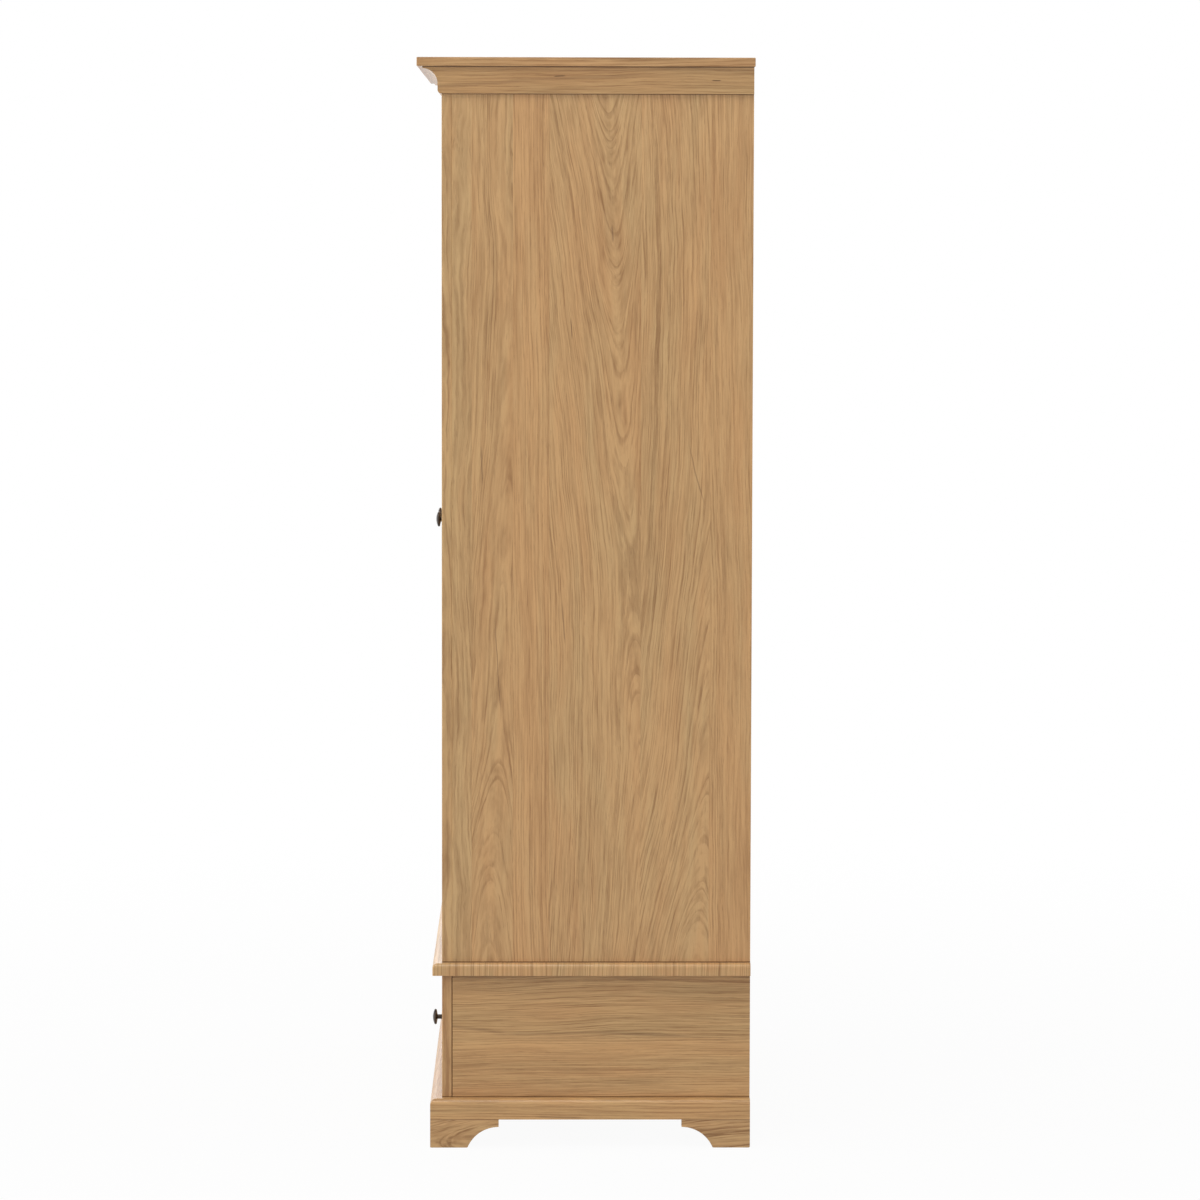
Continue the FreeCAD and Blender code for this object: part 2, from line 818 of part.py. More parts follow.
def pair(shapes):
    """Pieces on the right with their mirror images, as one group of separate solids."""
    return Part.makeCompound(shapes + [mirrored(shape) for shape in shapes])


def carcass():
    """Every fixed piece above the plinth, by name."""
    base = (base_bottom, waist_bottom)
    upper = (upper_bottom, cornice_bottom)
    cornice = (cornice_bottom, slab_bottom)
    inside = (-inner_half, inner_half)
    right = {
        "base_right_side": side_panel(base, base_joint_bevel),
        "base_right_stile": frame_stile(base, base_joint_bevel),
        "upper_right_side": side_panel(upper, upper_joint_bevel),
        "upper_right_stile": upper_stile(),
        "frieze_right": cornice_board((inner_half, frieze_half), back),
    }
    pieces = dict(right)
    for name, shape in right.items():
        pieces[name.replace("right", "left")] = mirrored(shape)
    pieces.update({
        "base_dust_board": box(inside, (base_floor_front, back_panel_front), (base_bottom, dust_board_top)),
        "base_back": back_panel(base),
        "drawer_runners": pair([drawer_runner()]),
        "waist_board": waist_board(),
        "upper_top": box(inside, (frame_back, back_panel_front), (inner_top, cornice_bottom)),
        "upper_back": back_panel(upper),
        "upper_centre_stile": centre_stile(),
        "upper_top_rail": box(
            (-opening_half, opening_half), (front, frame_back), (frame_opening_top, cornice_bottom)
        ),
        "cornice_cove": cornice_board(inside, frame_back),
        "cornice_back_rail": box(inside, (back - cornice_rail_thickness, back), cornice),
        "top_board": top_board(),
        "hanging_rail": hanging_rail(),
        "rail_sockets": pair([rail_socket()]),
        "hinge_frame_leaves": pair(hinge_leaves(1)),
        "hinge_pins": pair(hinge_pins()),
        "door_catches": Part.makeCompound([door_catch(height) for height in strike_heights()]),
    })
    return pieces


def feet():
    """The four feet, by name."""
    right = {"foot_front_right": front_foot(), "foot_rear_right": rear_foot()}
    pieces = dict(right)
    for name, shape in right.items():
        pieces[name.replace("right", "left")] = mirrored(shape)
    return pieces


def doors():
    """The pieces of both doors, by name."""
    pieces = {}
    for name, shape in right_door().items():
        pieces["right_door_" + name] = shape
        pieces["left_door_" + name] = mirrored(shape)
    return pieces


def wardrobe():
    """Every piece of the wardrobe, by name."""
    pieces = {}
    for group in (feet(), plinth(), carcass(), doors(), drawer()):
        pieces.update(group)
    return pieces


os.makedirs("parts", exist_ok=True)
for node, solid in wardrobe().items():
    solid.exportStep(os.path.join("parts", node + ".step"))
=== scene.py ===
"""An oak wardrobe dressed for its picture: oak boards, fittings, fasteners and a white studio."""

import logging
import math
import random
from dataclasses import astuple, dataclass, replace
from enum import Enum
from typing import Any, Callable, Optional, Sequence, Union

import bmesh
import bpy
from mathutils import Matrix, Vector

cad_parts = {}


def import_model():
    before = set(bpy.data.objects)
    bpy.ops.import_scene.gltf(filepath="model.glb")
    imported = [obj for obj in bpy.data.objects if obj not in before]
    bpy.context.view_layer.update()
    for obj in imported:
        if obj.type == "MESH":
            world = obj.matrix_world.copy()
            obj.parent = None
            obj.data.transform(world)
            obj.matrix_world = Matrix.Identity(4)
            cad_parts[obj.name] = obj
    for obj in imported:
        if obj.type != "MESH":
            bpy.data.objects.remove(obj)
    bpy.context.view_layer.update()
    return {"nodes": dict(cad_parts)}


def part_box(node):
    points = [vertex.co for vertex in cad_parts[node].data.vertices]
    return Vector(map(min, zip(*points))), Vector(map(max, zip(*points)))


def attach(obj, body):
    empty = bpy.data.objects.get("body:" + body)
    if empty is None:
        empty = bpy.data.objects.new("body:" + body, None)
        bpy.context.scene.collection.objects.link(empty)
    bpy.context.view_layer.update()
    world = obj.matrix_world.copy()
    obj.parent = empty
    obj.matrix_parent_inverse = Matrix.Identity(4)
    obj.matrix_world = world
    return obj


LOG = logging.getLogger("wardrobe")

Colour = tuple[float, float, float, float]
Place = tuple[float, float, float]
Range = tuple[float, float]
Number = Union["Value", float]
Sockets = dict[Union[str, int], Any]
Face = bmesh.types.BMFace
FaceTest = Callable[[Face], bool]
Piece = bpy.types.Object

MM = 0.001
SIDES = (-1.0, 1.0)
WHITE: Colour = (1.0, 1.0, 1.0, 1.0)

SRGB_TOP = 255.0
SRGB_KNEE = 0.04045
SRGB_SLOPE = 12.92
SRGB_OFFSET = 0.055
SRGB_POWER = 2.4

NOISE_MIDDLE = 0.5
BUMP_STRENGTH = 0.6

# Sockets of a colour's Mix node go by number, because its kinds share their names.
MIX_SHARE = 0
MIX_FIRST = 6
MIX_SECOND = 7
MIX_RESULT = 2


def paint(red: int, green: int, blue: int) -> Colour:
    """Gives the linear colour of a paint that is written as 0 to 255.

    Args:
        red: Red level.
        green: Green level.
        blue: Blue level.

    Returns:
        The colour as a shader takes it, opaque.
    """
    levels = []
    for level in (red, green, blue):
        share = level / SRGB_TOP
        if share <= SRGB_KNEE:
            levels.append(share / SRGB_SLOPE)
        else:
            levels.append(((share + SRGB_OFFSET) / (1.0 + SRGB_OFFSET)) ** SRGB_POWER)
    return (levels[0], levels[1], levels[2], 1.0)


@dataclass(frozen=True)
class Cells:
    """The cells of a soft noise.

    Attributes:
        across: Cells to the metre along a point's first number.
        through: Cells to the metre along its second.
        along: Cells to the metre along its third.
        detail: How many finer layers the noise has.
        roughness: How strong those are.
        moved: Which of the three numbers a shift moves.
    """

    across: float
    through: float
    along: float
    detail: float = 2.0
    roughness: float = 0.5
    moved: tuple[int, ...] = ()


class Value:
    """A number that changes over a surface, so that sums are written as plain arithmetic."""

    def __init__(self, graph: "Graph", socket: bpy.types.NodeSocket) -> None:
        """Wraps one output socket of a graph."""
        self.graph = graph
        self.socket = socket

    def __add__(self, other: Number) -> "Value":
        """Adds."""
        return self.graph.math("ADD", self, other)

    def __radd__(self, other: float) -> "Value":
        """Adds to a number."""
        return self.graph.math("ADD", other, self)

    def __sub__(self, other: Number) -> "Value":
        """Takes away."""
        return self.graph.math("SUBTRACT", self, other)

    def __rsub__(self, other: float) -> "Value":
        """Takes away from a number."""
        return self.graph.math("SUBTRACT", other, self)

    def __mul__(self, other: Number) -> "Value":
        """Multiplies."""
        return self.graph.math("MULTIPLY", self, other)

    def __rmul__(self, other: float) -> "Value":
        """Multiplies a number."""
        return self.graph.math("MULTIPLY", other, self)

    def __truediv__(self, other: Number) -> "Value":
        """Divides."""
        return self.graph.math("DIVIDE", self, other)

    def __abs__(self) -> "Value":
        """Drops the sign."""
        return self.graph.math("ABSOLUTE", self)

    def root(self) -> "Value":
        """Takes the square root."""
        return self.graph.math("SQRT", self)

    def floor(self) -> "Value":
        """Rounds down."""
        return self.graph.math("FLOOR", self)

    def larger(self, other: Number) -> "Value":
        """Keeps the larger of two numbers."""
        return self.graph.math("MAXIMUM", self, other)

    def below(self, other: Number) -> "Value":
        """Gives 1 where this number is under the other, and else 0."""
        return self.graph.math("LESS_THAN", self, other)

    def swing(self, reach: Number) -> "Value":
        """Turns soft noise into a swing to both sides of 0."""
        return (self - NOISE_MIDDLE) * reach

    def eased(self, start: float, end: float, first: float = 0.0, last: float = 1.0) -> "Value":
        """Eases from one level to another between two readings.

        Args:
            start: Reading at which the change starts.
            end: Reading at which it is done.
            first: Level before the start.
            last: Level after the end.

        Returns:
            The eased level.
        """
        sockets = {
            "Value": self,
            "From Min": start,
            "From Max": end,
            "To Min": first,
            "To Max": last,
        }
        settings = {"interpolation_type": "SMOOTHSTEP"}
        return self.graph.value("ShaderNodeMapRange", settings, sockets)


class Graph:
    """The node tree of one finish."""

    def __init__(self, tree: bpy.types.NodeTree) -> None:
        """Starts with an empty tree."""
        self.tree = tree
        tree.nodes.clear()

    def node(
        self,
        kind: str,
        settings: Optional[dict[str, Any]] = None,
        sockets: Optional[Sockets] = None,
    ) -> bpy.types.Node:
        """Adds a node.

        Args:
            kind: The node's type.
            settings: Its settings, which are set first; "ramp_kind" and "stops" are a ramp's.
            sockets: Values, or links, of its input sockets.

        Returns:
            The node.
        """
        node = self.tree.nodes.new(kind)
        for name, setting in (settings or {}).items():
            if name == "stops":
                self._set_stops(node.color_ramp, setting)
            elif name == "ramp_kind":
                node.color_ramp.interpolation = setting
            else:
                setattr(node, name, setting)
        for key, source in (sockets or {}).items():
            if isinstance(source, Value):
                self.tree.links.new(source.socket, node.inputs[key])
            elif isinstance(source, bpy.types.NodeSocket):
                self.tree.links.new(source, node.inputs[key])
            else:
                node.inputs[key].default_value = source
        return node

    @staticmethod
    def _set_stops(ramp: bpy.types.ColorRamp, stops: Sequence[tuple[float, Colour]]) -> None:
        """Sets a ramp's stops.

        Args:
            ramp: The ramp.
            stops: Place and colour of each stop, in order.
        """
        for element, (place, colour) in zip(ramp.elements, stops):
            element.position = place
            element.color = colour
        for place, colour in stops[2:]:
            ramp.elements.new(place).color = colour

    def value(self, kind: str, settings: dict[str, Any], sockets: Sockets) -> Value:
        """Adds a node and wraps its first output."""
        return Value(self, self.node(kind, settings, sockets).outputs[0])

    def math(self, operation: str, *terms: Number) -> Value:
        """Adds one sum."""
        return self.value("ShaderNodeMath", {"operation": operation}, dict(enumerate(terms)))

    def place(self) -> tuple[Value, Value, Value]:
        """Gives the place on the wardrobe, in metres.

        Returns:
            The values along X, Y and Z.
        """
        point = self.node("ShaderNodeTexCoord").outputs["Object"]
        parts = self.node("ShaderNodeSeparateXYZ", None, {0: point}).outputs
        return (Value(self, parts[0]), Value(self, parts[1]), Value(self, parts[2]))

    def noise(self, cells: Cells, point: Sequence[Number], shift: Number = 0.0) -> Value:
        """Gives soft noise around 0.5 at a point.

        Args:
            cells: The noise's cells.
            point: The point's three numbers.
            shift: How many cells the point is moved.

        Returns:
            The noise.
        """
        terms: Sockets = {}
        scales = (cells.across, cells.through, cells.along)
        for slot, (number, scale) in enumerate(zip(point, scales)):
            terms[slot] = number * scale
            if slot in cells.moved:
                terms[slot] = terms[slot] + shift
        sockets = {
            "Vector": self.node("ShaderNodeCombineXYZ", None, terms).outputs[0],
            "Scale": 1.0,
            "Detail": cells.detail,
            "Roughness": cells.roughness,
        }
        return self.value("ShaderNodeTexNoise", {"noise_dimensions": "3D"}, sockets)

    def uneven(self, number: Value) -> Value:
        """Gives soft noise around 0.5 along one number."""
        sockets = {"W": number, "Scale": 1.0, "Detail": 1.0}
        return self.value("ShaderNodeTexNoise", {"noise_dimensions": "1D"}, sockets)

    def chance(self, number: Value) -> Value:
        """Gives each whole number its own draw from 0 to 1."""
        return self.value("ShaderNodeTexWhiteNoise", {"noise_dimensions": "1D"}, {"W": number})

    def mix(
        self, share: Number, first: Any, second: Any, blend: str = "MIX"
    ) -> bpy.types.NodeSocket:
        """Mixes two colours.

        Args:
            share: Share of the second colour.
            first: The first colour.
            second: The second colour.
            blend: How they are mixed.

        Returns:
            The mixed colour's socket.
        """
        settings = {"data_type": "RGBA", "blend_type": blend, "clamp_factor": True}
        sockets = {MIX_SHARE: share, MIX_FIRST: first, MIX_SECOND: second}
        return self.node("ShaderNodeMix", settings, sockets).outputs[MIX_RESULT]

    def surface(self, sockets: Sockets, height: Value, rise: float) -> None:
        """Ends the tree with a surface.

        Args:
            sockets: The surface shader's sockets.
            height: Its relief, from 0 to 1.
            rise: How high the relief is, in metres.
        """
        relief = {"Strength": BUMP_STRENGTH, "Distance": rise, "Height": height}
        sockets["Normal"] = self.node("ShaderNodeBump", None, relief).outputs[0]
        shader = self.node("ShaderNodeBsdfPrincipled", None, sockets)
        self.node("ShaderNodeOutputMaterial", None, {0: shader.outputs[0]})


def new_finish(name: str) -> tuple[bpy.types.Material, Graph]:
    """Starts a finish.

    Args:
        name: Its name.

    Returns:
        The material and its empty graph.
    """
    material = bpy.data.materials.new(name)
    material.use_nodes = True
    return material, Graph(material.node_tree)


class Axis(Enum):
    """A direction of the wardrobe: width, depth, height."""

    WIDTH = 0
    DEPTH = 1
    HEIGHT = 2


class Lay(Enum):
    """Which way a board lies, by its axes across, through and along the grain."""

    UPRIGHT_SIDE = (Axis.DEPTH, Axis.WIDTH, Axis.HEIGHT)
    UPRIGHT_FRONT = (Axis.WIDTH, Axis.DEPTH, Axis.HEIGHT)
    LEVEL_FRONT = (Axis.HEIGHT, Axis.DEPTH, Axis.WIDTH)
    LEVEL_SIDE = (Axis.HEIGHT, Axis.WIDTH, Axis.DEPTH)
    FLAT_WIDE = (Axis.DEPTH, Axis.HEIGHT, Axis.WIDTH)

    def order(self, place: Sequence[Any]) -> tuple[Any, ...]:
        """Puts a place's numbers in the order across, through and along."""
        return tuple(place[axis.value] for axis in self.value)


@dataclass(frozen=True)
class Turn:
    """A second lay of a board's grain, and a test that gives 1 where it takes over."""

    lay: Lay
    takes_over: Callable[[Value, Value, Value], Value]


@dataclass(frozen=True)
class Stave:
    """One strip of a glued-up board, by where it lay in its tree, in metres.

    Attributes:
        start: Where the strip starts across the board.
        heart: Where the tree's heart lies across the board.
        depth: How far behind the board's middle the heart lies.
        climb: How much deeper the heart lies for each metre along the grain.
        tone: From -1, dark, to 1, pale.
        warmth: From 0, yellowish, to 1, reddish.
        waver: How far its lines sway to either side.
        lean: How far its lines run aside for each metre along the grain.
        taper: How much narrower its growth rings are for each metre along the grain.
        bow: Half of how much that taper changes for each metre from the board's middle.
    """

    start: float
    heart: float
    depth: float
    climb: float
    tone: float = 0.0
    warmth: float = 0.5
    waver: float = 0.006
    lean: float = 0.0
    taper: float = 0.0
    bow: float = 0.0

    def placed(self, face: float, middle: float, tone: float) -> "Stave":
        """Moves the tree's numbers from the board's middle to the wardrobe's origin.

        Args:
            face: The board's middle through the grain.
            middle: Its middle along the grain.
            tone: How much paler the board is than its strips say.

        Returns:
            The strip in its place.
        """
        return replace(
            self,
            heart=self.heart - self.lean * middle,
            depth=self.depth - face - self.climb * middle,
            taper=self.taper - 2.0 * self.bow * middle,
            tone=self.tone + tone,
        )


class End(Enum):
    """The low or the high end of a box along an axis."""

    LOW = 0
    HIGH = 1


@dataclass(frozen=True)
class JointShadeLine:
    """A dark line along one end of a board, where it meets the next: partly the real gap, partly
    painted shade in that gap and under any overhang above.

    Attributes:
        axis: The axis that it lies across.
        end: The end of the board.
        width: Its width, in metres.
    """

    axis: Axis
    end: End
    width: float


@dataclass(frozen=True)
class Mark:
    """A dark vein or a pin knot in a board.

    Attributes:
        start: Where it starts along and across the grain, in metres.
        stop: Where it stops.
        width: Half its width, in metres.
        strength: From 0, unseen, to 1, dark.
    """

    start: Range
    stop: Range
    width: float
    strength: float


@dataclass(frozen=True)
class Figure:
    """How the figure of oak is drawn on every board.

    Attributes:
        sway: Noise that its lines sway with.
        swell: Noise that the heart's depth swells with.
        thread: Noise of the fine lines, whose first number counts growth rings.
        tint: Noise of its warmth.
        patch: Noise of its broad patches.
        dash: Noise of its pores.
        shifts: How many cells a strip's noises are moved at most.
        years: Cells to the metre in which the width of growth rings changes.
        year_reach: How many rings that moves them.
        early: Part of a ring over which its early wood fades.
        late: Part of a ring over which the next early wood begins.
        early_share: How much early wood adds to a line.
        line: Readings between which a line darkens.
        faintest: Strength of the faintest ring.
        pores: Readings between which a pore darkens.
        pore_least: Strength of the pores outside early wood.
        patch_share: How much its patches darken it.
        tint_share: How much its warmth changes.
        shade: How dark plain wood is.
        tone_share: How much a strip's tone changes that.
        streak_rough: How much its streaks change its roughness.
        pore_rough: How much its pores do.
        pore_depth: Share of the relief that the pores take.
        line_depth: Share of the relief that the lines take.
        relief: Height of the relief, in metres.
        coat_roughness: Roughness of the lacquer.
        mark_edge: Share of a mark's half width over which it fades aside.
        mark_in: Part of a mark's length over which it begins.
        mark_out: Part of a mark's length over which it ends.
        shade_seam_edge: Share of a meeting line's width over which its partly painted shade fades.
        shade_seam_dark: How dark a meeting line is, painted shade in part.
    """

    sway: Cells = Cells(9.0, 9.0, 4.2, 4.0, 0.55, (0, 2))
    swell: Cells = Cells(5.0, 5.0, 1.8, 1.5, moved=(0, 2))
    thread: Cells = Cells(1.5, 90.0, 4.0, 2.0, 0.6, (2,))
    tint: Cells = Cells(36.0, 36.0, 4.0, moved=(1,))
    patch: Cells = Cells(14.0, 14.0, 2.4, moved=(2,))
    dash: Cells = Cells(1500.0, 1500.0, 60.0, 1.0)
    shifts: float = 40.0
    years: float = 80.0
    year_reach: float = 3.0
    early: Range = (0.0, 0.42)
    late: Range = (0.90, 1.0)
    early_share: float = 0.34
    line: Range = (0.50, 0.86)
    faintest: float = 0.25
    pores: Range = (0.55, 0.70)
    pore_least: float = 0.3
    patch_share: float = 0.5
    tint_share: float = 2.0
    shade: float = 0.20
    tone_share: float = 0.12
    streak_rough: float = 0.10
    pore_rough: float = 0.12
    pore_depth: float = 0.7
    line_depth: float = 0.3
    relief: float = 0.00012
    coat_roughness: float = 0.2
    mark_edge: Range = (0.2, 1.0)
    mark_in: Range = (-0.05, 0.25)
    mark_out: Range = (0.75, 1.05)
    # Fade and darkness of the dark lines where boards meet, which are painted shade in part.
    shade_seam_edge: Range = (0.5, 1.0)
    shade_seam_dark: float = 0.85


@dataclass(frozen=True)
class WoodFinish:
    """A timber and its lacquer.

    Attributes:
        name: Its name.
        pale: Colour of its palest wood.
        dark: Colour of its darkest wood.
        pore: Colour of its pores.
        red_tint: What reddish wood multiplies its colour by.
        ring: Width of a growth ring, in metres.
        swell: How far the heart's depth swells to either side, in metres.
        line_share: How much the lines of its rings darken it.
        streak: Noise of its streaks, whose first number is the distance from the heart.
        streak_share: How much those darken it.
        thread_share: How much its fine lines darken it.
        pore_share: How much its pores show.
        roughness: How rough it is.
        coat: How much lacquer it has.
        shine: How much the wood under the lacquer mirrors.
        vein_and_joint_shade: Colour of its veins and pin knots, and of the dark lines where boards
            meet, which are partly painted shade.
        figure: How its figure is drawn.
    """

    name: str
    pale: Colour
    dark: Colour
    pore: Colour
    red_tint: Colour
    ring: float = 0.0046
    swell: float = 0.026
    line_share: float = 0.40
    streak: Cells = Cells(330.0, 60.0, 13.0, 2.5, 0.6, (2,))
    streak_share: float = 0.84
    thread_share: float = 1.10
    pore_share: float = 0.40
    roughness: float = 0.44
    coat: float = 0.5
    shine: float = 0.3
    # Colour of veins and knots, and also of the partly painted shade in lines where boards meet.
    vein_and_joint_shade: Colour = paint(78, 50, 26)
    figure: Figure = Figure()


SHOW_OAK = WoodFinish(
    name="oak",
    pale=paint(193, 157, 108),
    dark=paint(138, 101, 59),
    pore=paint(114, 82, 48),
    red_tint=(1.06, 0.955, 0.90, 1.0),
)
FINE_OAK = replace(
    SHOW_OAK,
    pale=paint(193, 156, 105),
    streak=replace(SHOW_OAK.streak, across=640.0, along=11.0),
    streak_share=1.30,
)
FRIEZE_OAK = replace(FINE_OAK, streak_share=0.95, line_share=0.42, thread_share=0.75)
FOOT_OAK = replace(SHOW_OAK, ring=0.0060, line_share=1.00, thread_share=2.10)
END_OAK = replace(SHOW_OAK, streak_share=0.15, thread_share=2.40, pore_share=0.20, ring=0.0042)
LINING = WoodFinish(
    name="lining",
    pale=paint(222, 198, 160),
    dark=paint(188, 158, 116),
    pore=paint(170, 140, 102),
    red_tint=(1.03, 0.98, 0.94, 1.0),
    line_share=0.34,
    pore_share=0.15,
    roughness=0.58,
    coat=0.0,
)
BACKING = WoodFinish(
    name="backing",
    pale=paint(200, 166, 124),
    dark=paint(154, 118, 80),
    pore=paint(130, 98, 66),
    red_tint=(1.04, 0.97, 0.92, 1.0),
    line_share=0.42,
    roughness=0.6,
    coat=0.0,
)


@dataclass(frozen=True)
class Timber:
    """One board, or a few boards of one lay, sawn from oak.

    Attributes:
        finish: Its timber and lacquer.
        lay: Which way its grain lies.
        staves: Its strips.
        end: Where its last strip ends.
        seed: Which draw moves the noises of its strips.
        joints: Axis, place and width of its dark lines where boards meet, which are partly painted
            shade.
        marks: Its veins and pin knots.
    """

    finish: WoodFinish
    lay: Lay
    staves: tuple[Stave, ...]
    end: float
    seed: int
    joints: tuple[tuple[Axis, float, float], ...] = ()
    marks: tuple[Mark, ...] = ()

    def material(self, name: str, turn: Optional[Turn] = None) -> bpy.types.Material:
        """Makes the board's finish.

        Args:
            name: The board's name.
            turn: How its grain turns a corner, if it does.

        Returns:
            The finish.
        """
        material, graph = new_finish(f"{self.finish.name}_{name}")
        finish, figure = self.finish, self.finish.figure
        place = graph.place()
        lie = self._lie(place, turn)
        across, through, along = lie
        draw = random.Random(self.seed)
        rows = [(*astuple(stave)[1:], draw.uniform(0.0, figure.shifts)) for stave in self.staves]
        tree = self._by_stave(graph, across, rows)
        heart, depth, climb, tone, warmth, waver, lean, taper, bow, shift = tree

        swayed = across + graph.noise(figure.sway, lie, shift).swing(2.0 * waver)
        bent = swayed - along * lean
        sideways = bent - heart
        swell = graph.noise(figure.swell, lie, shift).swing(2.0 * finish.swell)
        inwards = through + along * climb + depth + swell
        radius = (sideways * sideways + inwards * inwards).root() + along * (along * bow + taper)
        years = graph.uneven(radius * figure.years + shift)
        count = radius / finish.ring + years * figure.year_reach
        ring = count.floor()
        phase = count - ring
        growth = graph.chance(ring + shift) * (1.0 - figure.faintest) + figure.faintest
        early = phase.eased(*figure.early, 1.0, 0.0).larger(phase.eased(*figure.late))

        streak = graph.noise(finish.streak, (radius, bent, along), shift)
        thread = graph.noise(figure.thread, (count, bent, along), shift)
        tint = graph.noise(figure.tint, (bent, through, along), shift)
        patch = graph.noise(figure.patch, (bent, through, along), shift)
        dash = graph.noise(figure.dash, (bent, through, along))
        line = (streak + early * figure.early_share).eased(*figure.line) * growth
        open_wood = early * (1.0 - figure.pore_least) + figure.pore_least
        pores = dash.eased(*figure.pores) * open_wood
        dark = line * finish.line_share + streak.swing(finish.streak_share)
        dark = dark + thread.swing(finish.thread_share) + patch.swing(figure.patch_share)
        dark = dark + (figure.shade - tone * figure.tone_share)

        colour = graph.mix(dark, finish.pale, finish.dark)
        colour = graph.mix(pores * finish.pore_share, colour, finish.pore)
        tinted = graph.mix(1.0, colour, finish.red_tint, "MULTIPLY")
        colour = graph.mix(warmth + tint.swing(figure.tint_share), colour, tinted)
        if self.marks:
            colour = graph.mix(self._marked(swayed, along), colour, finish.vein_and_joint_shade)
        # Dark lines where boards meet: partly the real gap, partly painted shade in it and under
        # overhangs.
        if self.joints:
            colour = graph.mix(self._joint_shade(place), colour, finish.vein_and_joint_shade)
        rough = finish.roughness + streak.swing(figure.streak_rough) + pores * figure.pore_rough
        sockets = {
            "Base Color": colour,
            "Roughness": rough,
            "Specular IOR Level": finish.shine,
            "Coat Weight": finish.coat,
            "Coat Roughness": figure.coat_roughness,
        }
        height = 1.0 - pores * figure.pore_depth - line * figure.line_depth
        graph.surface(sockets, height, figure.relief)
        return material

    def _lie(self, place: Sequence[Value], turn: Optional[Turn]) -> tuple[Value, ...]:
        """Gives a place across, through and along the grain.

        Args:
            place: Place on the wardrobe.
            turn: How the grain turns a corner, if it does.

        Returns:
            The three values.
        """
        lie = self.lay.order(place)
        if turn is None:
            return lie
        mask = turn.takes_over(*place)
        return tuple(one + (two - one) * mask for one, two in zip(lie, turn.lay.order(place)))

    def _marked(self, swayed: Value, along: Value) -> Value:
        """Gives how dark the board's veins and pin knots are.

        Args:
            swayed: Place across the board, swayed with its grain.
            along: Place along the board.

        Returns:
            The darkness, from 0 to 1.
        """
        figure = self.finish.figure
        dark: Number = 0.0
        for mark in self.marks:
            (first, left), (last, right) = mark.start, mark.stop
            part = (along - first) / (last - first)
            aside = abs(swayed - part * (right - left) - left) / mark.width
            fade = part.eased(*figure.mark_in) * part.eased(*figure.mark_out, 1.0, 0.0)
            edge = aside.eased(*figure.mark_edge, 1.0, 0.0)
            dark = (edge * fade * mark.strength).larger(dark)
        return dark

    def _joint_shade(self, place: Sequence[Value]) -> Value:
        """Gives how dark the lines at the board's ends are, where it meets other boards; partly
        painted shade in the gaps and under overhangs.

        Args:
            place: Place on the wardrobe.

        Returns:
            The darkness, from 0 to 1.
        """
        figure = self.finish.figure
        dark: Number = 0.0
        for axis, end, width in self.joints:
            aside = abs(place[axis.value] - end) / width
            dark = aside.eased(*figure.shade_seam_edge, figure.shade_seam_dark, 0.0).larger(dark)
        return dark

    def _by_stave(
        self, graph: Graph, across: Value, rows: Sequence[Sequence[float]]
    ) -> list[Number]:
        """Looks numbers up by the strip that a point lies in.

        Args:
            graph: The finish's graph.
            across: Place across the board.
            rows: The numbers of each strip.

        Returns:
            The numbers at the point.
        """
        if len(rows) == 1:
            return list(rows[0])
        first = self.staves[0].start
        width = self.end - first
        part = (across - first) / width
        starts = [(stave.start - first) / width for stave in self.staves]
        found: list[Number] = []
        for column in zip(*rows):
            low, reach = min(column), max(column) - min(column)
            if reach == 0.0:
                found.append(low)
                continue
            shares = [(number - low) / reach for number in column]
            stops = [(start, (share, share, share, 1.0)) for start, share in zip(starts, shares)]
            settings = {"ramp_kind": "CONSTANT", "stops": stops}
            share = graph.value("ShaderNodeValToRGB", settings, {0: part})
            found.append(share * reach + low)
        return found


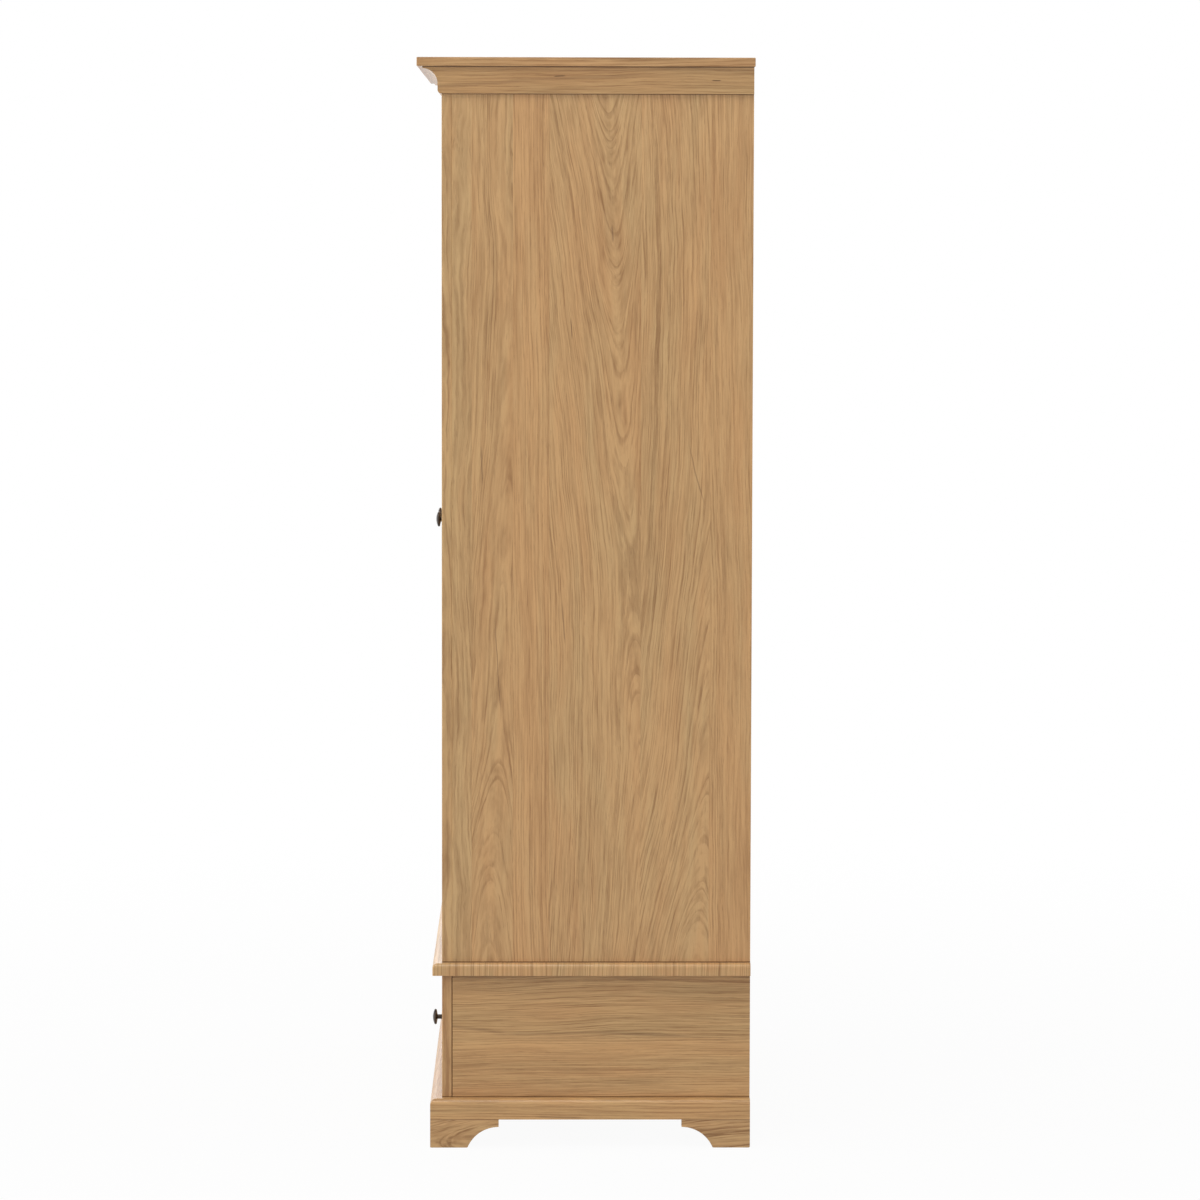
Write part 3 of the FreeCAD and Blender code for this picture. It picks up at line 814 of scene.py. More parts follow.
@dataclass(frozen=True)
class Sawing:
    """The ranges that the strips of a plain board are drawn from, in metres.

    Attributes:
        single: Width up to which what is left of a board is one strip.
        width: Width of the other strips.
        arched: Share of the strips that are sawn near the heart and show arches.
        arch_aside: How far their heart lies from their middle, in widths.
        arch_depth: How deep it lies.
        arch_taper: Their taper, to either side.
        arch_waver: How far their lines sway.
        straight_aside: How far the heart of a straight strip lies aside, to either side.
        straight_depth: How deep it lies.
        straight_taper: Its taper.
        straight_waver: How far its lines sway.
        tone: Tone of any strip.
        warmth: Warmth of any strip.
    """

    single: float = 0.15
    width: Range = (0.07, 0.12)
    arched: float = 0.5
    arch_aside: Range = (-0.25, 0.25)
    arch_depth: Range = (0.045, 0.07)
    arch_taper: Range = (0.02, 0.05)
    arch_waver: Range = (0.004, 0.012)
    straight_aside: Range = (0.12, 0.25)
    straight_depth: Range = (0.05, 0.12)
    straight_taper: Range = (-0.008, 0.008)
    straight_waver: Range = (0.002, 0.006)
    tone: Range = (-0.8, 0.8)
    warmth: Range = (0.1, 0.9)

    def staves(self, start: float, end: float, seed: int) -> tuple[Stave, ...]:
        """Draws the strips of a board.

        Args:
            start: Where the board starts across its grain.
            end: Where it ends.
            seed: Which draw.

        Returns:
            The strips.
        """
        draw = random.Random(seed)
        edges = [start]
        while end - edges[-1] > self.single:
            edges.append(edges[-1] + draw.uniform(*self.width))
        stops = edges[1:] + [end]
        return tuple(self._stave(draw, edge, stop) for edge, stop in zip(edges, stops))

    def _stave(self, draw: random.Random, start: float, stop: float) -> Stave:
        """Draws one strip.

        Args:
            draw: The draw.
            start: Where the strip starts across the board.
            stop: Where it stops.

        Returns:
            The strip.
        """
        heart = (start + stop) / 2.0
        if draw.random() < self.arched:
            heart += draw.uniform(*self.arch_aside) * (stop - start)
            depth = draw.uniform(*self.arch_depth)
            taper = draw.choice(SIDES) * draw.uniform(*self.arch_taper)
            waver = draw.uniform(*self.arch_waver)
        else:
            heart += draw.choice(SIDES) * draw.uniform(*self.straight_aside)
            depth = draw.uniform(*self.straight_depth)
            taper = draw.uniform(*self.straight_taper)
            waver = draw.uniform(*self.straight_waver)
        tone = draw.uniform(*self.tone)
        warmth = draw.uniform(*self.warmth)
        return Stave(start, heart, depth, 0.0, tone, warmth, waver, 0.0, taper)


class Joiner:
    """Picks timber for the wardrobe's boards and dresses their nodes with it."""

    def __init__(self, nodes: dict[str, Piece]) -> None:
        """Keeps the nodes by name."""
        self.nodes = nodes
        self.sawing = Sawing()

    def dress(self, name: str, material: bpy.types.Material) -> None:
        """Gives a node its finish.

        Args:
            name: The node's name.
            material: The finish.
        """
        node = self.nodes[name]
        if not node.material_slots:
            node.data.materials.append(material)
        for slot in node.material_slots:
            slot.material = material
        LOG.info("%s: %s", name, material.name)

    def board(
        self,
        name: str,
        lay: Lay,
        finish: WoodFinish = SHOW_OAK,
        staves: Optional[tuple[Stave, ...]] = None,
        *,
        seed: int,
        turn: Optional[Turn] = None,
        tone: float = 0.0,
        shade_seams: tuple[JointShadeLine, ...] = (),
        marks: tuple[Mark, ...] = (),
    ) -> None:
        """Dresses one board.

        Args:
            name: The board's node.
            lay: Which way its grain lies.
            finish: Its timber and lacquer.
            staves: Its strips; drawn by the seed where none are given.
            seed: Which tree it is from.
            turn: How its grain turns a corner, if it does.
            tone: How much paler it is than its strips say.
            shade_seams: Its dark lines where it meets other boards, partly painted shade.
            marks: Its veins and pin knots.
        """
        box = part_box(name)
        start, front, near = lay.order(box[0])
        end, rear, far = lay.order(box[1])
        face = (front + rear) / 2.0
        middle = (near + far) / 2.0
        if staves is None:
            staves = self.sawing.staves(start, end, seed)
        placed = tuple(stave.placed(face, middle, tone) for stave in staves)
        # Dark lines at the board's ends where it meets others, partly painted shade.
        joints = tuple(
            (shade_seam.axis, box[shade_seam.end.value][shade_seam.axis.value], shade_seam.width) for shade_seam in shade_seams
        )
        timber = Timber(finish, lay, placed, end, seed, joints, marks)
        self.dress(name, timber.material(name, turn))


class Working(Enum):
    """How hardware is worked: the cells of its surface and their height in metres."""

    CAST = (Cells(900.0, 900.0, 900.0), 0.00008)
    BRUSHED = (Cells(2600.0, 2600.0, 60.0, 1.0), 0.00002)
    PLATED = (Cells(25.0, 1400.0, 1400.0, 1.0), 0.000008)
    MOULDED = (Cells(1600.0, 1600.0, 1600.0), 0.00003)


@dataclass(frozen=True)
class HardwareFinish:
    """A metal or a plastic by its colours and how it is worked.

    Attributes:
        name: Its name.
        working: How it is worked.
        fresh: Colour of its fresh places.
        worn: Colour of its dull or scuffed places.
        roughness: How rough it is.
        metallic: How much it is a bare metal.
        wear: Noise of its worn places.
        wear_edge: Readings between which wear begins.
        wear_most: How much wear shows at most.
        wear_rough: How much wear changes its roughness.
        grain_rough: How much its surface does.
    """

    name: str
    working: Working
    fresh: Colour
    worn: Colour
    roughness: float
    metallic: float = 1.0
    wear: Cells = Cells(90.0, 90.0, 90.0, 3.0, 0.6)
    wear_edge: Range = (0.35, 0.68)
    wear_most: float = 1.0
    wear_rough: float = 0.25
    grain_rough: float = 0.12

    def material(self) -> bpy.types.Material:
        """Makes the finish.

        Returns:
            The material.
        """
        material, graph = new_finish(self.name)
        place = graph.place()
        cells, rise = self.working.value
        wear = graph.noise(self.wear, place)
        grain = graph.noise(cells, place)
        worn = wear.eased(*self.wear_edge, 0.0, self.wear_most)
        colour = graph.mix(worn, self.fresh, self.worn)
        rough = self.roughness + wear.swing(self.wear_rough) + grain.swing(self.grain_rough)
        sockets = {"Base Color": colour, "Roughness": rough, "Metallic": self.metallic}
        graph.surface(sockets, grain, rise)
        return material


DARK_BRONZE = HardwareFinish(
    "dark_bronze", Working.CAST, paint(84, 74, 66), paint(50, 44, 40), 0.38, 0.85
)
HINGE_BRONZE = HardwareFinish(
    "hinge_bronze", Working.BRUSHED, paint(150, 122, 84), paint(104, 82, 54), 0.34
)
CHROME = HardwareFinish(
    "rail_chrome", Working.PLATED, paint(214, 215, 217), paint(190, 192, 196), 0.14
)
STEEL = HardwareFinish(
    "strike_steel", Working.BRUSHED, paint(196, 194, 188), paint(160, 158, 152), 0.36
)
CATCH_BROWN = HardwareFinish(
    name="catch_plastic",
    working=Working.MOULDED,
    fresh=paint(96, 68, 46),
    worn=paint(122, 92, 66),
    roughness=0.46,
    metallic=0.0,
    wear=Cells(60.0, 60.0, 60.0),
    wear_edge=(0.35, 0.75),
    wear_most=0.6,
    wear_rough=0.2,
    grain_rough=0.0,
)


class Bench:
    """Hand tools for modelling one mesh at a time, in millimetres around the origin."""

    QUAD = 4
    UPWARD = 0.9
    SMOOTH_ANGLE = 35.0
    ROUNDED_ANGLE = 40.0
    ROUNDING_STEPS = 2

    @staticmethod
    def start_round(vertices: int, radius: float, low: float, high: float) -> Piece:
        """Turns a plain round blank along Z and goes into edit mode.

        Args:
            vertices: How many corners it has round its edge.
            radius: Its radius.
            low: Height of its underside.
            high: Height of its top.

        Returns:
            The blank.
        """
        bpy.ops.object.select_all(action="DESELECT")
        middle = (0.0, 0.0, (low + high) / 2.0)
        bpy.ops.mesh.primitive_cylinder_add(
            vertices=vertices, radius=radius, depth=high - low, location=middle
        )
        return Bench._open()

    @staticmethod
    def start_block(size: Place, low: float) -> Piece:
        """Saws a plain square blank and goes into edit mode.

        Args:
            size: Its size.
            low: Height of its underside.

        Returns:
            The blank.
        """
        bpy.ops.object.select_all(action="DESELECT")
        middle = (0.0, 0.0, low + size[2] / 2.0)
        bpy.ops.mesh.primitive_cube_add(size=1.0, location=middle, scale=size)
        return Bench._open()

    @staticmethod
    def _open() -> Piece:
        """Applies a new blank's place and opens it for editing.

        Returns:
            The blank.
        """
        bpy.ops.object.transform_apply(location=True, rotation=True, scale=True)
        blank = bpy.context.object
        bpy.ops.object.mode_set(mode="EDIT")
        bpy.ops.mesh.select_mode(type="FACE")
        return blank

    @staticmethod
    def faces_up(face: Face) -> bool:
        """Tells whether a face lies flat and faces up."""
        return face.normal.z > Bench.UPWARD

    @staticmethod
    def pick(test: FaceTest) -> None:
        """Selects the faces that pass a test, and no others.

        Args:
            test: The test.
        """
        bpy.ops.mesh.select_all(action="DESELECT")
        mesh = bpy.context.edit_object.data
        shape = bmesh.from_edit_mesh(mesh)
        for face in shape.faces:
            if test(face):
                face.select_set(True)
        bmesh.update_edit_mesh(mesh)

    @staticmethod
    def raise_up(height: float) -> None:
        """Pulls the selected faces up, or pushes them down."""
        bpy.ops.mesh.extrude_region_move(TRANSFORM_OT_translate={"value": (0.0, 0.0, height)})

    @staticmethod
    def cut_slot(width: float, depth: float, on_crown: FaceTest, in_slot: FaceTest) -> None:
        """Cuts a slot along Y into a head.

        Args:
            width: Its width.
            depth: Its depth.
            on_crown: Which faces it is cut into.
            in_slot: Which faces lie between its two edges.
        """
        for side in SIDES:
            Bench.pick(on_crown)
            edge = (side * width / 2.0, 0.0, 0.0)
            bpy.ops.mesh.bisect(plane_co=edge, plane_no=(1.0, 0.0, 0.0))
        Bench.pick(in_slot)
        Bench.raise_up(-depth)

    @staticmethod
    def close(angle: float = SMOOTH_ANGLE) -> None:
        """Leaves edit mode and smooths all but the sharp edges.

        Args:
            angle: From which angle, in degrees, an edge is sharp.
        """
        bpy.ops.mesh.select_all(action="SELECT")
        bpy.ops.mesh.normals_make_consistent(inside=False)
        bpy.ops.object.mode_set(mode="OBJECT")
        bpy.ops.object.shade_smooth_by_angle(angle=math.radians(angle))

    @staticmethod
    def soften(piece: Piece, width: float) -> None:
        """Rounds a piece's sharp edges.

        Args:
            piece: The piece.
            width: Width of the rounding.
        """
        bevel = piece.modifiers.new("soften", "BEVEL")
        bevel.width = width
        bevel.segments = Bench.ROUNDING_STEPS
        bevel.limit_method = "ANGLE"
        bevel.angle_limit = math.radians(Bench.ROUNDED_ANGLE)
        bpy.ops.object.modifier_apply(modifier=bevel.name)
        bpy.ops.object.shade_smooth_by_angle(angle=math.radians(Bench.SMOOTH_ANGLE))


@dataclass(frozen=True)
class Seat:
    """Where a fastener sits: its place in metres and the way that its head faces."""

    place: Place
    facing: Place


@dataclass(frozen=True)
class SlottedScrew:
    """A countersunk screw head with a slot, in millimetres."""

    radius: float = 3.3
    proud: float = 0.12
    sunk: float = 1.0
    rim: float = 0.45
    slot: float = 0.8
    slot_depth: float = 0.6
    corners: int = 24
    strip_share: float = 0.3

    def model(self) -> Piece:
        """Models the head.

        Returns:
            The head, facing up at the origin.
        """
        head = Bench.start_round(self.corners, self.radius, -self.sunk, self.proud)
        Bench.pick(Bench.faces_up)
        bpy.ops.mesh.inset(thickness=self.rim, depth=0.0)
        Bench.cut_slot(self.slot, self.slot_depth, self._is_crown, self._is_strip)
        Bench.close()
        return head

    def _is_crown(self, face: Face) -> bool:
        """Tells whether a face is part of the head's flat crown, inside its rim."""
        return Bench.faces_up(face) and len(face.verts) > Bench.QUAD or self._is_strip(face)

    def _is_strip(self, face: Face) -> bool:
        """Tells whether a face is the strip between the slot's two edges."""
        middle = face.calc_center_median()
        return Bench.faces_up(face) and middle.xy.length < self.strip_share * self.slot


@dataclass(frozen=True)
class KnobBolt:
    """A pan-headed bolt on a washer, in millimetres."""

    washer_radius: float = 7.5
    washer_height: float = 1.0
    washer_sunk: float = 0.5
    head_radius: float = 4.6
    head_height: float = 2.4
    rim: float = 0.9
    slot: float = 1.1
    slot_depth: float = 1.2
    rounding: float = 0.3
    corners: int = 32
    crown_share: float = 0.9
    strip_share: float = 0.3

    def model(self) -> Piece:
        """Models the bolt with its washer.

        Returns:
            The bolt, facing up at the origin.
        """
        bolt = Bench.start_round(
            self.corners, self.washer_radius, -self.washer_sunk, self.washer_height
        )
        Bench.pick(Bench.faces_up)
        bpy.ops.mesh.inset(thickness=self.washer_radius - self.head_radius, depth=0.0)
        Bench.raise_up(self.head_height)
        bpy.ops.mesh.inset(thickness=self.rim, depth=0.0)
        Bench.cut_slot(self.slot, self.slot_depth, self._is_crown, self._is_strip)
        Bench.close()
        Bench.soften(bolt, self.rounding)
        return bolt

    def _is_crown(self, face: Face) -> bool:
        """Tells whether a face is part of the head's flat crown, inside its rim.

        Args:
            face: The face.

        Returns:
            Whether it is.
        """
        middle = face.calc_center_median()
        high = middle.z > self.washer_height + self.crown_share * self.head_height
        inside = len(face.verts) > Bench.QUAD or abs(middle.x) < self.slot
        return high and Bench.faces_up(face) and inside

    def _is_strip(self, face: Face) -> bool:
        """Tells whether a face is the strip between the slot's two edges."""
        near = abs(face.calc_center_median().x) < self.strip_share * self.slot
        return self._is_crown(face) and near


@dataclass(frozen=True)
class PanelPin:
    """The flat head of a pin that holds a back panel, in millimetres."""

    radius: float = 1.6
    proud: float = 0.35
    sunk: float = 1.0
    dish: float = 0.15
    dish_share: float = 0.5
    corners: int = 12
    smooth_angle: float = 50.0

    def model(self) -> Piece:
        """Models the pin's head.

        Returns:
            The head, facing up at the origin.
        """
        head = Bench.start_round(self.corners, self.radius, -self.sunk, self.proud)
        Bench.pick(Bench.faces_up)
        bpy.ops.mesh.inset(thickness=self.dish_share * self.radius, depth=-self.dish)
        Bench.close(self.smooth_angle)
        return head


@dataclass(frozen=True)
class MagnetPlate:
    """The pole plate on a catch, in millimetres."""

    width: float = 11.0
    height: float = 30.0
    proud: float = 0.2
    sunk: float = 1.0
    rim: float = 2.0
    dish: float = 0.5
    rounding: float = 0.12

    def model(self) -> Piece:
        """Models the plate with its raised rim.

        Returns:
            The plate, facing up at the origin, its height along Y.
        """
        plate = Bench.start_block((self.width, self.height, self.sunk + self.proud), -self.sunk)
        Bench.pick(Bench.faces_up)
        bpy.ops.mesh.inset(thickness=self.rim, depth=0.0)
        Bench.raise_up(-self.dish)
        Bench.close()
        Bench.soften(plate, self.rounding)
        return plate


@dataclass
class FastenerSet:
    """Fasteners of one kind that ride on one body.

    Attributes:
        name: The set's name.
        kind: The fastener.
        body: The body that it rides on.
        slot: Name of a material slot; not used.
        finish: Its finish.
        seats: Where its fasteners sit.
        turned: Whether each is turned about itself by a draw.
        seed: Which draw.
    """

    name: str
    kind: Union[SlottedScrew, KnobBolt, PanelPin, MagnetPlate]
    body: str
    slot: str
    finish: bpy.types.Material
    seats: list[Seat]
    turned: bool = True
    seed: int = 5

    def build(self) -> None:
        """Models one fastener and sets copies of it in all seats, as one piece."""
        pattern = self.kind.model()
        draw = random.Random(self.seed)
        copies = []
        for seat in self.seats:
            copy = pattern.copy()
            copy.data = pattern.data.copy()
            turn = draw.uniform(0.0, math.pi) if self.turned else 0.0
            copy.data.transform(self._seated(seat, turn))
            bpy.context.scene.collection.objects.link(copy)
            copies.append(copy)
        bpy.data.objects.remove(pattern, do_unlink=True)
        bpy.ops.object.select_all(action="DESELECT")
        for copy in copies:
            copy.select_set(True)
        bpy.context.view_layer.objects.active = copies[0]
        if len(copies) > 1:
            bpy.ops.object.join()
        piece = bpy.context.view_layer.objects.active
        piece.name = self.name
        piece.data.name = self.name
        piece.data.materials.clear()
        piece.data.materials.append(self.finish)
        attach(piece, self.body)
        LOG.info("%s: %d on %s", self.name, len(self.seats), self.body)

    @staticmethod
    def _seated(seat: Seat, turn: float) -> Matrix:
        """Gives the move from the bench to a seat.

        Args:
            seat: The seat.
            turn: How far the fastener is turned about itself.

        Returns:
            The move, from millimetres to metres.
        """
        up = Vector((0.0, 0.0, 1.0))
        facing = up.rotation_difference(Vector(seat.facing)).to_matrix().to_4x4()
        spin = Matrix.Rotation(turn, 4, "Z")
        return Matrix.Translation(seat.place) @ facing @ spin @ Matrix.Scale(MM, 4)


@dataclass(frozen=True)
class HingeScrews:
    """The screws in one leaf of each of a door's hinges, in metres."""

    centres: tuple[float, ...] = (0.486, 1.08725, 1.6885)
    depths: Range = (-0.2485, -0.2430)
    spread: float = 0.025
    screw: SlottedScrew = SlottedScrew(radius=2.1, slot=0.6, rim=0.3)

    def seats(self, face: float, facing: float, first: int) -> list[Seat]:
        """Lists the screws' seats, whose depths take turns.

        Args:
            face: Where the leaves' faces lie along X.
            facing: The way that they face along X.
            first: Which of the two depths comes first.

        Returns:
            The seats.
        """
        seats = []
        for centre in self.centres:
            for row, lift in enumerate((-self.spread, 0.0, self.spread)):
                depth = self.depths[(first + row) % 2]
                seats.append(Seat((face, depth, centre + lift), (facing, 0.0, 0.0)))
        return seats


class Hand(Enum):
    """The two sides of the wardrobe, seen from the front."""

    LEFT = "left"
    RIGHT = "right"

    @property
    def sign(self) -> float:
        """Gives the side's direction along X."""
        return -1.0 if self is Hand.LEFT else 1.0


DOOR_SEEDS = {Hand.LEFT: 51, Hand.RIGHT: 61}


@dataclass
class Plinth:
    """The plinth rails and the bracket feet."""

    joiner: Joiner
    rail_tree: Stave = Stave(0.051, -0.120, 0.090, 0.010, 0.20, 0.65, 0.003)
    foot_tree: Stave = Stave(0.0, 0.014, -0.026, -0.16, -0.7, 0.45, 0.004)
    rear_tree: Stave = Stave(0.0, -0.090, 0.070, -0.10, -0.40, 0.45, 0.005)
    # Dark line along each foot's top, where the plinth rail sits on it: partly the real gap,
    # partly painted shade.
    shade_seams: tuple[JointShadeLine, ...] = (JointShadeLine(Axis.HEIGHT, End.HIGH, 0.0012),)
    rail_marks: tuple[Mark, ...] = (Mark((-0.095, 0.0570), (0.005, 0.0535), 0.0026, 0.40),)

    def dress(self) -> None:
        """Lacquers rails and feet, with grain that follows each of their faces."""
        board = self.joiner.board
        board("plinth_front_rail", Lay.LEVEL_FRONT, seed=11)
        board("plinth_back_rail", Lay.LEVEL_FRONT, seed=12)
        board("plinth_left_rail", Lay.LEVEL_SIDE, seed=13)
        rail, foot = (self.rail_tree,), (self.rear_tree,)
        board("plinth_right_rail", Lay.LEVEL_SIDE, FINE_OAK, rail, seed=14, marks=self.rail_marks)
        board("foot_rear_left", Lay.LEVEL_SIDE, seed=17, shade_seams=self.shade_seams)
        board("foot_rear_right", Lay.LEVEL_SIDE, FOOT_OAK, foot, seed=18, shade_seams=self.shade_seams)
        for hand in Hand:
            self._dress_front_foot(hand)

    def _dress_front_foot(self, hand: Hand) -> None:
        """Lacquers one front foot, whose two brackets meet in a mitre.

        Args:
            hand: Which foot.
        """
        name = f"foot_front_{hand.value}"
        low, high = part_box(name)
        outer = high.x if hand is Hand.RIGHT else -low.x

        def on_front(x: Value, y: Value, _: Value) -> Value:
            """Gives 1 on the front bracket's side of the mitre."""
            return (y - low.y).below(outer - x * hand.sign)

        turn = Turn(Lay.LEVEL_FRONT, on_front)
        board = self.joiner.board
        if hand is Hand.LEFT:
            board(name, Lay.LEVEL_SIDE, seed=15, turn=turn, shade_seams=self.shade_seams)
        else:
            foot = (self.foot_tree,)
            board(name, Lay.LEVEL_SIDE, FOOT_OAK, foot, seed=16, turn=turn, shade_seams=self.shade_seams)


@dataclass
class BasePart:
    """The base carcass around the drawer."""

    joiner: Joiner
    side_staves: tuple[Stave, ...] = (
        Stave(0.088, -0.100, 0.100, -0.030, -0.50, 0.58, 0.004),
        Stave(0.196, 0.430, 0.100, 0.020, -0.90, 0.35, 0.006),
    )
    stile_tree: Stave = Stave(0.489, 0.360, 0.080, 0.004, -0.35, 0.85, 0.004)
    waist_staves: tuple[Stave, ...] = (
        Stave(-0.273, 0.150, 0.010, 0.004, 0.10, 0.40, 0.003),
        Stave(-0.165, -0.560, 0.020, -0.004, 0.50, 0.65, 0.003),
        Stave(-0.060, 0.340, 0.015, 0.004, -0.10, 0.35, 0.003),
        Stave(0.055, -0.380, 0.010, -0.003, 0.70, 0.60, 0.003),
        Stave(0.180, 0.620, 0.020, 0.003, 0.20, 0.70, 0.003),
    )
    side_marks: tuple[Mark, ...] = (
        Mark((-0.280, 0.2230), (-0.130, 0.2050), 0.0046, 0.26),
        Mark((-0.165, 0.2050), (0.040, 0.2085), 0.0036, 0.24),
        Mark((0.000, 0.2080), (0.210, 0.1965), 0.0046, 0.26),
    )
    # Dark lines along the bottom, where the base stands on the plinth, and in the bevelled groove
    # where stile and side meet: partly the real gap, partly painted shade.
    side_shade_seams: tuple[JointShadeLine, ...] = (
        JointShadeLine(Axis.HEIGHT, End.LOW, 0.0020),
        JointShadeLine(Axis.DEPTH, End.LOW, 0.0012),
    )
    stile_shade_seams: tuple[JointShadeLine, ...] = (
        JointShadeLine(Axis.HEIGHT, End.LOW, 0.0020),
        JointShadeLine(Axis.DEPTH, End.HIGH, 0.0012),
    )

    def dress(self) -> None:
        """Lacquers the boards of the base."""
        board = self.joiner.board
        board(
            "base_right_side",
            Lay.LEVEL_SIDE,
            FINE_OAK,
            self.side_staves,
            seed=21,
            shade_seams=self.side_shade_seams,
            marks=self.side_marks,
        )
        board("base_left_side", Lay.LEVEL_SIDE, seed=22, shade_seams=self.side_shade_seams)
        stile = (self.stile_tree,)
        board("base_right_stile", Lay.UPRIGHT_FRONT, staves=stile, seed=23, shade_seams=self.stile_shade_seams)
        board("base_left_stile", Lay.UPRIGHT_FRONT, seed=24, shade_seams=self.stile_shade_seams)
        board("base_dust_board", Lay.FLAT_WIDE, BACKING, seed=25)
        board("base_back", Lay.LEVEL_FRONT, BACKING, seed=26)
        board("drawer_runners", Lay.LEVEL_SIDE, LINING, seed=27)
        board("waist_board", Lay.FLAT_WIDE, END_OAK, self.waist_staves, seed=28)


@dataclass
class UpperPart:
    """The upper carcass with its face frame."""

    joiner: Joiner
    side_staves: tuple[Stave, ...] = (
        Stave(-0.238, -0.275, 0.080, 0.030, -0.10, 0.20, 0.018, 0.03),
        Stave(-0.203, -0.143, 0.040, 0.000, 0.12, 0.65, 0.010, 0.03, 0.020, -0.035),
        Stave(-0.130, -0.300, 0.100, 0.008, 0.25, 0.95, 0.005, -0.01),
        Stave(-0.065, 0.078, 0.030, 0.000, 0.20, 0.50, 0.008, -0.05, -0.011, -0.090),
        Stave(0.098, 0.238, 0.040, 0.000, 0.25, 0.55, 0.008, 0.05, 0.020, -0.083),
        Stave(0.221, 0.010, 0.100, 0.010, 0.20, 0.70, 0.008, -0.01),
    )
    side_marks: tuple[Mark, ...] = (
        Mark((0.954, -0.1600), (0.775, -0.1495), 0.0013, 0.50),
        Mark((0.985, -0.0430), (0.905, -0.0360), 0.0018, 0.45),
        Mark((1.490, -0.0255), (1.450, -0.0245), 0.0013, 0.50),
        Mark((1.655, 0.0448), (1.622, 0.0455), 0.0024, 0.40),
        Mark((1.262, -0.1840), (1.190, -0.1810), 0.0022, 0.40),
        Mark((1.268, 0.1834), (1.155, 0.2150), 0.0018, 0.40),
    )
    # Dark lines along the bottom, where the upper part stands on the waist board, and along the
    # top under the cornice: partly the real gap, partly painted shade under the overhang.
    shade_seams: tuple[JointShadeLine, ...] = (
        JointShadeLine(Axis.HEIGHT, End.LOW, 0.0022),
        JointShadeLine(Axis.HEIGHT, End.HIGH, 0.0014),
    )
    # Faint lines where the rail meets the stiles, and a darker one along its top under the cove:
    # partly the real gap, partly painted shade.
    rail_shade_seams: tuple[JointShadeLine, ...] = (
        JointShadeLine(Axis.WIDTH, End.LOW, 0.0005),
        JointShadeLine(Axis.WIDTH, End.HIGH, 0.0005),
        JointShadeLine(Axis.HEIGHT, End.HIGH, 0.0014),
    )

    def dress(self) -> None:
        """Lacquers the boards of the upper part."""
        board = self.joiner.board
        board(
            "upper_right_side",
            Lay.UPRIGHT_SIDE,
            staves=self.side_staves,
            seed=31,
            shade_seams=self.shade_seams,
            marks=self.side_marks,
        )
        board("upper_left_side", Lay.UPRIGHT_SIDE, seed=32, shade_seams=self.shade_seams)
        board("upper_right_stile", Lay.UPRIGHT_FRONT, seed=33, tone=-1.0, shade_seams=self.shade_seams)
        board("upper_left_stile", Lay.UPRIGHT_FRONT, seed=34, shade_seams=self.shade_seams)
        board("upper_centre_stile", Lay.UPRIGHT_FRONT, seed=35, shade_seams=self.shade_seams)
        board("upper_top_rail", Lay.LEVEL_FRONT, seed=36, shade_seams=self.rail_shade_seams)
        board("upper_top", Lay.FLAT_WIDE, BACKING, seed=37)
        board("upper_back", Lay.UPRIGHT_FRONT, BACKING, seed=38)


@dataclass
class Cornice:
    """The cove, the friezes and the top board."""

    joiner: Joiner
    lipping: float = 0.006
    frieze_tree: Stave = Stave(1.886, 1.700, 0.100, 0.015, -1.4, 0.38, 0.009)
    frieze_marks: tuple[Mark, ...] = (
        Mark((-0.320, 1.8960), (-0.060, 1.9130), 0.0052, 0.24),
        Mark((-0.150, 1.9100), (0.120, 1.9170), 0.0040, 0.22),
        Mark((-0.058, 1.9158), (-0.036, 1.9170), 0.0014, 0.90),
        Mark((0.222, 1.9092), (0.240, 1.9100), 0.0014, 0.90),
    )
    # Dark line along the top of the friezes and cove: partly the real gap, partly painted shadow
    # under the top board's overhang.
    shade_seams: tuple[JointShadeLine, ...] = (JointShadeLine(Axis.HEIGHT, End.HIGH, 0.0020),)

    def dress(self) -> None:
        """Lacquers the boards of the cornice."""
        board = self.joiner.board
        board(
            "frieze_right",
            Lay.LEVEL_SIDE,
            FRIEZE_OAK,
            (self.frieze_tree,),
            seed=41,
            shade_seams=self.shade_seams,
            marks=self.frieze_marks,
        )
        board("frieze_left", Lay.LEVEL_SIDE, seed=42, shade_seams=self.shade_seams)
        board("cornice_cove", Lay.LEVEL_FRONT, seed=43, shade_seams=self.shade_seams)
        board("cornice_back_rail", Lay.LEVEL_FRONT, BACKING, seed=44)
        _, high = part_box("top_board")

        def on_lipping(x: Value, _: Value, __: Value) -> Value:
            """Gives 1 on the strips that cover the board's two ends."""
            return (high.x - abs(x)).below(self.lipping)

        lipped = Turn(Lay.LEVEL_SIDE, on_lipping)
        board("top_board", Lay.FLAT_WIDE, seed=45, turn=lipped, tone=-1.2)


